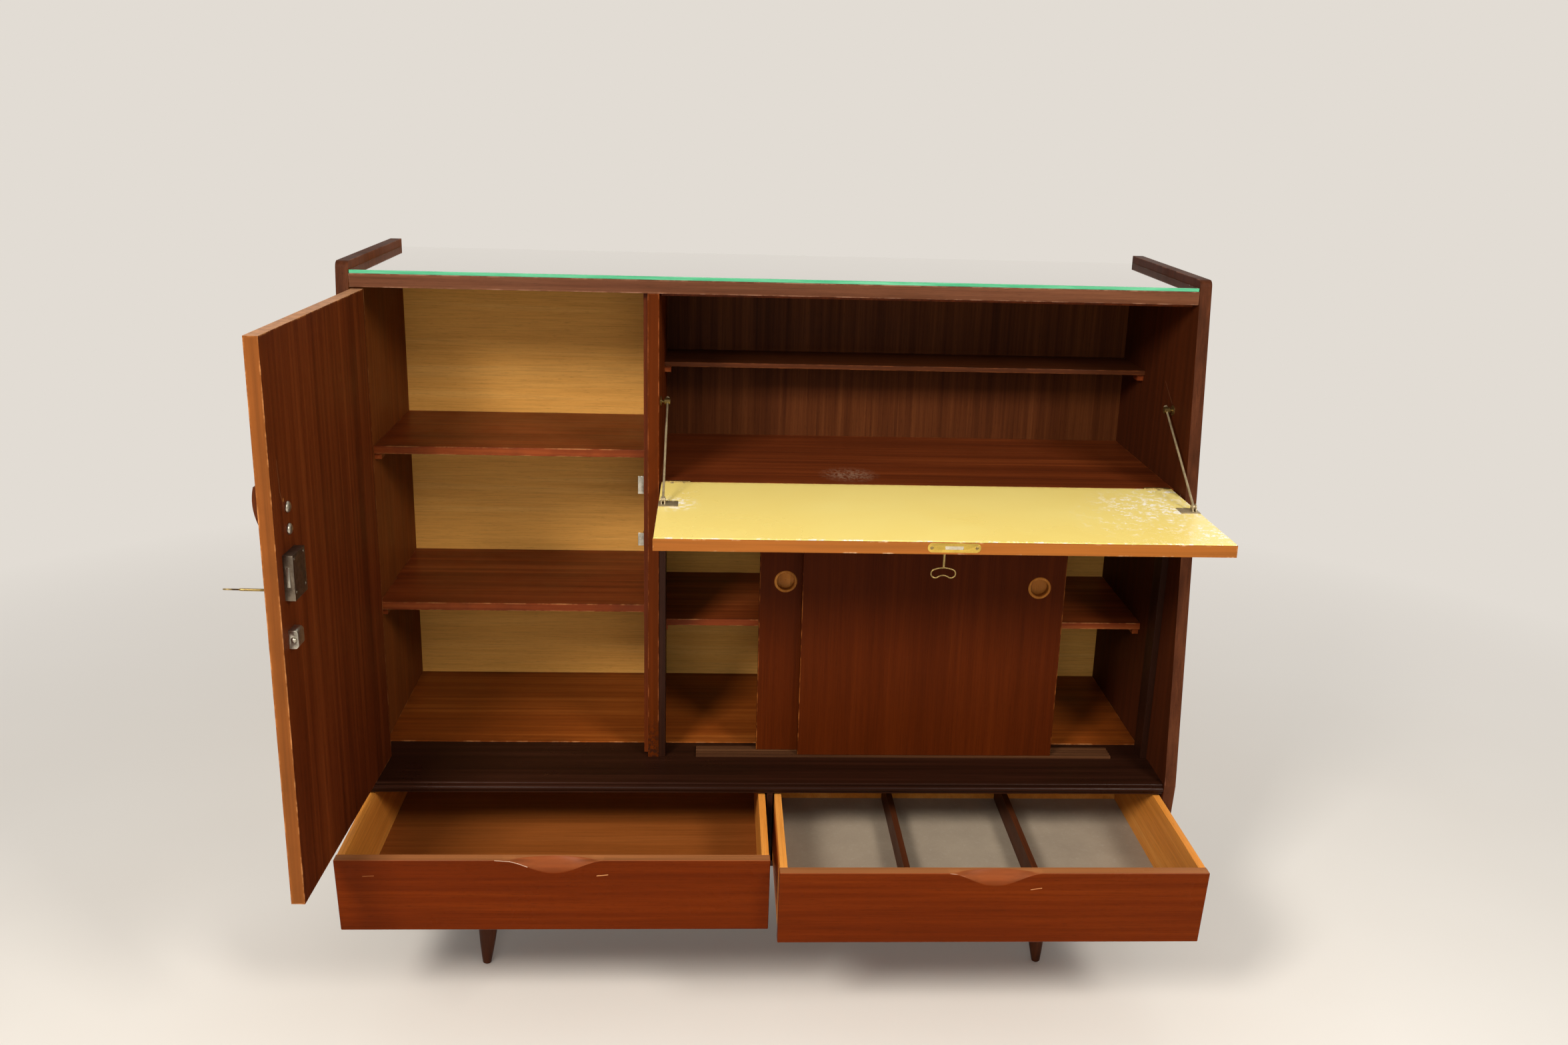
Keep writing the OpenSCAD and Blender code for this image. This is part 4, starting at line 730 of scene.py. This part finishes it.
def hoop(bm, path, wide, thick, place, sides):
    """Closed wire along a flat loop of (x, z) points: wide in the loop's plane and thick across it."""
    count = len(path)
    rings = []
    for i, (x, z) in enumerate(path):
        before, after = path[i - 1], path[(i + 1) % count]
        run = Vector((after[0] - before[0], 0, after[1] - before[1])).normalized()
        out = Vector((run.z, 0, -run.x))
        ring = []
        for k in range(sides):
            t = 2 * math.pi * k / sides
            ring.append(bm.verts.new(place @ (Vector((x, 0, z)) + out * wide * math.cos(t)
                                              + Vector((0, thick * math.sin(t), 0)))))
        rings.append(ring)
    for a, b in zip(rings, rings[1:] + rings[:1]):
        for k in range(sides):
            m = (k + 1) % sides
            bm.faces.new((a[k], a[m], b[m], b[k]))


# Screw heads: rows of points as shares of the reach, half width of the slot as a share of the radius, and the
# depth of the skirt in the wood
HEAD_ROWS = (-0.995, -0.94, -0.80, -0.55, -0.30, -0.10, 0.10, 0.30, 0.55, 0.80, 0.94, 0.995)
SLOT_HALF, SKIRT = 0.15, 0.3


def slotted_head(bm, place, radius, rise, turn, slot):
    """Screw head domed about its own Z axis on a short skirt, with a turned slot sawn down to a height."""
    half = radius * SLOT_HALF
    columns = [(u * radius, False) for u in HEAD_ROWS if u * radius < -half - 0.02]
    columns += [(-half, False), (-half * 0.98, True), (half * 0.98, True), (half, False)]
    columns += [(u * radius, False) for u in HEAD_ROWS if u * radius > half + 0.02]
    spin = Matrix.Rotation(turn, 4, "Z")
    tops, floors = [], []
    for x, cut in columns:
        reach = math.sqrt(max(radius ** 2 - x ** 2, 0))
        top, floor_row = [], []
        for v in HEAD_ROWS:
            y = v * reach
            z = rise * (1 - (x ** 2 + y ** 2) / radius ** 2)
            if cut:
                z = min(z, slot)
            top.append(bm.verts.new(place @ spin @ Vector((x, y, z))))
            floor_row.append(bm.verts.new(place @ spin @ Vector((x, y, -SKIRT))))
        tops.append(top)
        floors.append(floor_row)
    across, along = len(columns), len(HEAD_ROWS)
    for i in range(across - 1):
        for j in range(along - 1):
            bm.faces.new((tops[i][j], tops[i + 1][j], tops[i + 1][j + 1], tops[i][j + 1]))
            bm.faces.new((floors[i][j], floors[i][j + 1], floors[i + 1][j + 1], floors[i + 1][j]))
    rim = [(i, 0) for i in range(across)] + [(across - 1, j) for j in range(1, along)]
    rim += [(i, along - 1) for i in range(across - 2, -1, -1)] + [(0, j) for j in range(along - 2, 0, -1)]
    for (i, j), (m, n) in zip(rim, rim[1:] + rim[:1]):
        bm.faces.new((tops[i][j], floors[i][j], floors[m][n], tops[m][n]))


# ---- keys with round wire bows

# Millimetres. A bow is two end loops joined by a flat arch outside and a tighter arc that dents it inside
BOW_W, WIRE, WIRE_SIDES = 42.0, 1.2, 12
LOOP_R = BOW_W * 0.171
BOW_HALF = BOW_W / 2 - LOOP_R - WIRE
ARCH_R, DENT_R = BOW_W * 0.95, BOW_W / 3
ARCH_DROP = math.sqrt((ARCH_R - LOOP_R) ** 2 - BOW_HALF ** 2)
DENT_DROP = math.sqrt((DENT_R + LOOP_R) ** 2 - BOW_HALF ** 2)
SHAFT_R, COLLAR_R, COLLAR_H = 2.0, 3.4, 2.5
LOOP_STEPS, ARCH_STEPS, DENT_STEPS = 20, 14, 10
# Where each key goes in, how deep it reaches inside, and how far its bow stands outside
DOOR_KEY_AT, DOOR_KEY_IN, DOOR_KEY_OUT = (-280.5, 0, 897), 31, 74
FLAP_KEY_AT, FLAP_KEY_IN, FLAP_KEY_OUT = (259, -296, 920), 12.5, 47
DOOR_KEY_TILT = math.radians(20)


def sweep(middle, radius, start, end, steps):
    """Points of an arc from the angle start up to, but not at, the angle end."""
    return [(middle[0] + radius * math.cos(start + (end - start) * i / steps),
             middle[1] + radius * math.sin(start + (end - start) * i / steps)) for i in range(steps)]


def turned_key(name, node, place, inside, outside):
    """Replace a key by one with a round wire bow and a turned, collared shaft."""
    arch = math.atan2(ARCH_DROP, BOW_HALF)
    dent = math.atan2(DENT_DROP, BOW_HALF)
    loop_z = -outside + LOOP_R + WIRE
    path = sweep((BOW_HALF, 0), LOOP_R, dent - math.pi, arch, LOOP_STEPS)
    path += sweep((0, -ARCH_DROP), ARCH_R, arch, math.pi - arch, ARCH_STEPS)
    path += sweep((-BOW_HALF, 0), LOOP_R, math.pi - arch, 2 * math.pi - dent, LOOP_STEPS)
    path += sweep((0, -DENT_DROP), DENT_R, math.pi - dent, dent, DENT_STEPS)
    bm = bmesh.new()
    hoop(bm, [(x, z + loop_z) for x, z in path], WIRE, WIRE * 0.98, place, WIRE_SIDES)
    arch_z = loop_z + ARCH_R - ARCH_DROP
    lathe(bm, [(0, arch_z - 0.3), (1.2, arch_z - 0.2), (1.9, arch_z + 1.6), (SHAFT_R, arch_z + 4),
               (SHAFT_R, -COLLAR_H - 1.6), (COLLAR_R - 0.9, -COLLAR_H - 0.4), (COLLAR_R, -COLLAR_H + 0.3),
               (COLLAR_R, -0.7), (COLLAR_R - 0.5, -0.25), (SHAFT_R, -0.25), (SHAFT_R, inside - 0.5),
               (SHAFT_R - 0.5, inside), (0, inside)], place, segments=28)
    mesh = finish_mesh(bm, name, smooth_angle=50)
    key = new_piece(name, mesh, body_of[node], slot_names[node], mats[node])
    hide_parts(node)


# Directions: the closed door's x and y as they lie on the open door
door_x = on_door(1, 0, 0) - on_door(0, 0, 0)
door_y = on_door(0, 1, 0) - on_door(0, 0, 0)
UP, ALONG_X, ALONG_Y, FORWARD = (0, 0, 1), (1, 0, 0), (0, 1, 0), (0, -1, 0)
tilted = door_x * math.cos(DOOR_KEY_TILT) + Vector((0, 0, 0.001)) * math.sin(DOOR_KEY_TILT)
turned_key("door_key_wire", "door_key", basis(on_door(*DOOR_KEY_AT), door_y, tilted), DOOR_KEY_IN, DOOR_KEY_OUT)
turned_key("flap_key_wire", "flap_key", basis(at(*FLAP_KEY_AT), UP, ALONG_X), FLAP_KEY_IN, FLAP_KEY_OUT)

# ---- domed heads of the handle screws

# Millimetres: x and heights of the screws, their heads, rims and shanks, and the gap under the head
HANDLE_X, HANDLE_SCREW_Z = -286.5, (989.5, 1022.5)
HEAD_R, HEAD_H, RIM_H, SCREW_R, SCREW_IN, HEAD_GAP = 8.5, 5.5, 0.8, 2.0, 8, 0.05
bm = bmesh.new()
for z in HANDLE_SCREW_Z:
    dome = [(HEAD_R * math.cos(math.radians(a)), RIM_H + (HEAD_H - RIM_H) * math.sin(math.radians(a)))
            for a in range(8, 88, 8)]
    lathe(bm, [(0, -DOOR_T - SCREW_IN), (SCREW_R, -DOOR_T - SCREW_IN), (SCREW_R, HEAD_GAP),
               (HEAD_R - 0.3, HEAD_GAP), (HEAD_R, 0.35), (HEAD_R, RIM_H), *dome, (0, HEAD_H)],
          basis(on_door(HANDLE_X, DOOR_T, z), door_y, door_x), segments=40)
domes = new_piece("handle_domes", finish_mesh(bm, "handle_domes", smooth_angle=50), "door", "nickel",
                  mats["door_handle_screws"])
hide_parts("door_handle_screws")

# ---- screws with sawn slots. Each turn, or the x or y that serves as one, makes its slot lie differently

# Millimetres: the door lock's face, the flap lock's face and height, and the top of the brackets
LOCK_FACE, FLAP_LOCK_FACE, FLAP_LOCK_Z, BRACKET_TOP = 36, -315.0, 930.5, 942.5
# (x, z, turn), (x, turn), (x, y) and (x, y, radius)
LOCK_SCREWS = ((-296.5, 904, 0.5), (-256.5, 904, 1.9), (-296.5, 954, 2.6), (-256.5, 954, 1.1))
FLAP_LOCK_SCREWS = ((235, 0.35), (307, 0.9))
BRACKET_SCREWS = tuple((x, y) for x in (-178, 700) for y in (-135.5, -112.5))
HINGE_SCREWS = ((-184, 14, 3.6), (-163, 15.5, 2.2), (700, 14, 3.6))


def screws(name, body, slot, mat, heads, rise, sawn_to=0.15):
    """Piece of screw heads, each a (place, radius, turn)."""
    bm = bmesh.new()
    for place, radius, turn in heads:
        slotted_head(bm, place, radius, rise, turn, sawn_to)
    new_piece(name, finish_mesh(bm, name), body, slot, mat)


screws("door_lock_screws", "door", "nickel", mats["door_lock"], rise=1.5, sawn_to=0.86,
       heads=[(basis(on_door(x, LOCK_FACE, z), door_y, door_x), 2.4, turn) for x, z, turn in LOCK_SCREWS])
screws("flap_lock_screws", "flap", "aged_brass", mats["flap_key"], rise=1.0, sawn_to=0.45,
       heads=[(basis(at(x, FLAP_LOCK_FACE, FLAP_LOCK_Z), FORWARD, ALONG_X), 3.6, turn)
              for x, turn in FLAP_LOCK_SCREWS])
screws("bracket_screws", "flap", "stay_steel", mats["stay_brackets"], rise=0.7,
       heads=[(basis(at(x, y, BRACKET_TOP), UP, ALONG_X), 2.6, y) for x, y in BRACKET_SCREWS])
screws("flap_hinge_screws", "flap", "aged_brass", mats["stay_brackets"], rise=0.7,
       heads=[(basis(at(x, y, FLAP_TOP), UP, ALONG_X), radius, x) for x, y, radius in HINGE_SCREWS])

# ---- stay pivots: pierced wheels with the pin that the eye turns on

# Millimetres. The pin starts inside the wheel
PIVOT_Y, PIVOT_Z, WHEEL_R, WHEEL_T, PIN_R, PIN_L = 70.594, 1077.26, 9.5, 1.5, 2.5, 9.0
HOLE_R, HOLE_RING, HOLES = 1.75, 6.3, 6
WHEEL_STEPS, HOLE_STEPS, PIN_STEPS = 48, 14, 24
PIN_SUNK = 0.4
# The divider's face in the bar
DIVIDER_X = -207


def pierced_wheel(bm, place):
    """Flat wheel with a ring of holes, and its pin."""
    start = len(bm.verts)
    loops = [(0.0, 0.0, WHEEL_R, WHEEL_STEPS)]
    for i in range(HOLES):
        t = 2 * math.pi * (i + 0.5) / HOLES
        loops.append((HOLE_RING * math.cos(t), HOLE_RING * math.sin(t), HOLE_R, HOLE_STEPS))
    rims = []
    for x, y, radius, steps in loops:
        ring = [bm.verts.new((x + radius * math.cos(2 * math.pi * i / steps),
                              y + radius * math.sin(2 * math.pi * i / steps), 0)) for i in range(steps)]
        rims += [bm.edges.new((a, b)) for a, b in zip(ring, ring[1:] + ring[:1])]
    flat = [e for e in bmesh.ops.triangle_fill(bm, edges=rims, use_beauty=True)["geom"]
            if isinstance(e, bmesh.types.BMFace)]
    raised = bmesh.ops.extrude_face_region(bm, geom=flat, use_keep_orig=True)["geom"]
    for vert in raised:
        if isinstance(vert, bmesh.types.BMVert):
            vert.co.z += WHEEL_T
    bm.verts.ensure_lookup_table()
    for vert in bm.verts[start:]:
        vert.co = place @ vert.co
    lathe(bm, [(0, PIN_SUNK), (PIN_R, PIN_SUNK), (PIN_R, PIN_L), (0, PIN_L)], place, PIN_STEPS)


bm = bmesh.new()
for x, sign in ((DIVIDER_X, 1), (INNER_X, -1)):
    pierced_wheel(bm, basis(at(x, PIVOT_Y, PIVOT_Z), (sign, 0, 0), ALONG_Y))
wheels = new_piece("stay_wheels", finish_mesh(bm, "stay_wheels", smooth_angle=30), "carcass", "aged_brass",
                   mats["stay_pivots"])
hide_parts("stay_pivots")

# ---- nails that hold the back panels, in millimetres

BACK_Y, NAIL_R, NAIL_PITCH = 407, 2.6, 105
NAIL_ROWS, ROW_RUN = (240, 398, 1291), range(-718, 720, NAIL_PITCH)
NAIL_COLUMNS, COLUMN_RUN = (-718, -217, 718), range(300, 1250, NAIL_PITCH)
NAIL_PROFILE = ((0, -0.4), (NAIL_R, -0.4), (NAIL_R, 0.1), (NAIL_R * 0.7, 0.55), (0, 0.75))
bm = bmesh.new()
nails = [(x, z) for z in NAIL_ROWS for x in ROW_RUN] + [(x, z) for x in NAIL_COLUMNS for z in COLUMN_RUN]
for x, z in nails:
    out_of_line = z % 7 - 3
    lathe(bm, NAIL_PROFILE, basis(at(x + out_of_line, BACK_Y, z), ALONG_Y, ALONG_X), segments=12)
new_piece("back_nails", finish_mesh(bm, "back_nails", smooth_angle=40), "carcass", "nickel",
          mats["stay_brackets"])

# ---- glass slab with ground arrises and a green cut edge


def slab(name, low, high, width):
    """Box with arrises of some width. Its edges take the second material."""
    bm = bmesh.new()
    bmesh.ops.create_cube(bm, size=1.0)
    for vert in bm.verts:
        for i in range(3):
            vert.co[i] = low[i] if vert.co[i] < 0 else high[i]
    bmesh.ops.bevel(bm, geom=bm.edges[:], offset=width, segments=3, profile=0.6, affect="EDGES")
    for face in bm.faces:
        face.material_index = 0 if abs(face.normal.z) > 0.9 else 1
    return finish_mesh(bm, name)


glass_top = new_piece("glass_slab", slab("glass_slab", *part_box("glass_top"), width=0.0008), "carcass", "glass",
                      mats["glass_top"], glass_rim)
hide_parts("glass_top")

# ---- floor, light and camera

# Metres. The floor fades into the backdrop between the two distances, for the camera alone
BACKDROP = (226, 220, 212)
FLOOR_R, FLOOR_Z, FADE_FROM, FADE_TO = 14.0, -0.0005, 1.2, 3.4

floor_mesh = bpy.data.meshes.new("floor")
bm = bmesh.new()
bmesh.ops.create_circle(bm, cap_ends=True, radius=FLOOR_R, segments=96)
bm.to_mesh(floor_mesh)
bm.free()
floor = bpy.data.objects.new("floor", floor_mesh)
floor.location.z = FLOOR_Z
scene.collection.objects.link(floor)
s = Shader("floor_pale")
soft = s.span(s.noise(s.place, scale=1.1, detail=3.0), *NOISE_SPAN)
s.done(s.mix(soft, linear((226, 222, 216)), linear((230, 227, 222))), 0.7)
glow = s.node("Emission")
glow.inputs["Color"].default_value = linear(BACKDROP)
ray = s.node("LightPath")
far_off = s.span(s.vector("LENGTH", s.place), FADE_FROM, FADE_TO)
fade = s.node("MixShader")
for start, end in (
    (s.both(far_off, ray.outputs["Is Camera Ray"]), fade.inputs[0]),
    (s.bsdf.outputs[0], fade.inputs[1]),
    (glow.outputs[0], fade.inputs[2]),
    (fade.outputs[0], s.tree.nodes["Material Output"].inputs["Surface"]),
):
    s.tree.links.new(start, end)
floor.data.materials.append(s.mat)

# The world lights the object. The camera and glass see the backdrop, and gloss sees it as the pale wall behind
# the highboard, with the dim room in front of it
LIGHT_TINT, LIGHT_STRENGTH = (1.0, 0.97, 0.93, 1.0), 0.36
WALL_SIDE = {"From Min": -0.15, "From Max": 0.35, "To Min": 0.12, "To Max": 1.15}

world = bpy.data.worlds.new("studio")
world.use_nodes = True
scene.world = world
tree = world.node_tree
for old in list(tree.nodes):
    tree.nodes.remove(old)
out, blend, light_path, lit, seen, seen_ray, glossy_ray, room, room_axes, wall_side, strength = (
    tree.nodes.new("ShaderNode" + kind) for kind in (
        "OutputWorld", "MixShader", "LightPath", "Background", "Background", "Math", "Math", "TexCoord",
        "SeparateXYZ", "MapRange", "Mix"))
lit.inputs["Color"].default_value = LIGHT_TINT
lit.inputs["Strength"].default_value = LIGHT_STRENGTH
seen.inputs["Color"].default_value = linear(BACKDROP)
seen_ray.operation = glossy_ray.operation = "MAXIMUM"
for key, value in WALL_SIDE.items():
    wall_side.inputs[key].default_value = value
strength.inputs["B"].default_value = 1.0
for start, end in (
    (room.outputs["Generated"], room_axes.inputs[0]),
    (room_axes.outputs["Y"], wall_side.inputs["Value"]),
    (wall_side.outputs[0], strength.inputs["A"]),
    (seen_ray.outputs[0], strength.inputs["Factor"]),
    (strength.outputs["Result"], seen.inputs["Strength"]),
    (light_path.outputs["Is Camera Ray"], seen_ray.inputs[0]),
    (light_path.outputs["Is Transmission Ray"], seen_ray.inputs[1]),
    (seen_ray.outputs[0], glossy_ray.inputs[0]),
    (light_path.outputs["Is Glossy Ray"], glossy_ray.inputs[1]),
    (glossy_ray.outputs[0], blend.inputs[0]),
    (lit.outputs[0], blend.inputs[1]),
    (seen.outputs[0], blend.inputs[2]),
    (blend.outputs[0], out.inputs[0]),
):
    tree.links.new(start, end)


def lamp(name, place, target, size, power, colour, glossy=True):
    """Square lamp that looks at a target. Lengths in metres, power in watts."""
    data = bpy.data.lights.new(name, "AREA")
    data.shape = "SQUARE"
    data.size = size
    data.energy = power
    data.color = colour
    obj = bpy.data.objects.new(name, data)
    obj.location = place
    obj.rotation_euler = (Vector(target) - Vector(place)).to_track_quat("-Z", "Y").to_euler()
    obj.visible_glossy = glossy
    scene.collection.objects.link(obj)


MIDDLE = (0.0, 0.0, 0.7)
lamp("key_left", (-1.5, -2.7, 2.75), MIDDLE, size=0.8, power=112, colour=(1.0, 0.94, 0.86))
lamp("key_right", (1.8, -2.5, 2.7), (0.1, 0.0, 0.7), size=0.8, power=72, colour=(1.0, 0.94, 0.86))
lamp("front_fill", (-0.2, -4.2, 1.5), MIDDLE, size=2.4, power=40, colour=(1.0, 0.96, 0.90), glossy=False)
lamp("back_fill", (0.6, 3.2, 2.6), (0.0, 0.0, 0.8), size=2.2, power=40, colour=(1.0, 0.97, 0.94), glossy=False)

# Camera recovered from the photograph's straight edges. Focal length in its pixels, place in metres, degrees
FOCAL_PX, PICTURE_W, SENSOR = 2059.3, 2352, 36.0
CAM_AT, CLIP_END = Vector((-0.0773, -2.3164, 1.5879)), 60
YAW, PITCH, CAM_ROLL = (math.radians(v) for v in (3.077, -16.795, 1.645))
ahead = Vector((math.sin(YAW) * math.cos(PITCH), math.cos(YAW) * math.cos(PITCH), math.sin(PITCH)))
right = Vector((math.cos(YAW), -math.sin(YAW), 0.0))
up = right.cross(ahead)
rolled_right = right * math.cos(CAM_ROLL) + up * math.sin(CAM_ROLL)
rolled_up = up * math.cos(CAM_ROLL) - right * math.sin(CAM_ROLL)
cam_data = bpy.data.cameras.new("camera")
cam_data.sensor_width = SENSOR
cam_data.lens = FOCAL_PX / PICTURE_W * SENSOR
cam_data.clip_end = CLIP_END
cam = bpy.data.objects.new("camera", cam_data)
turn = Matrix((rolled_right, rolled_up, -ahead)).transposed()
cam.matrix_world = Matrix.Translation(CAM_AT) @ turn.to_4x4()
scene.collection.objects.link(cam)
scene.camera = cam
scene.view_settings.view_transform = "Standard"
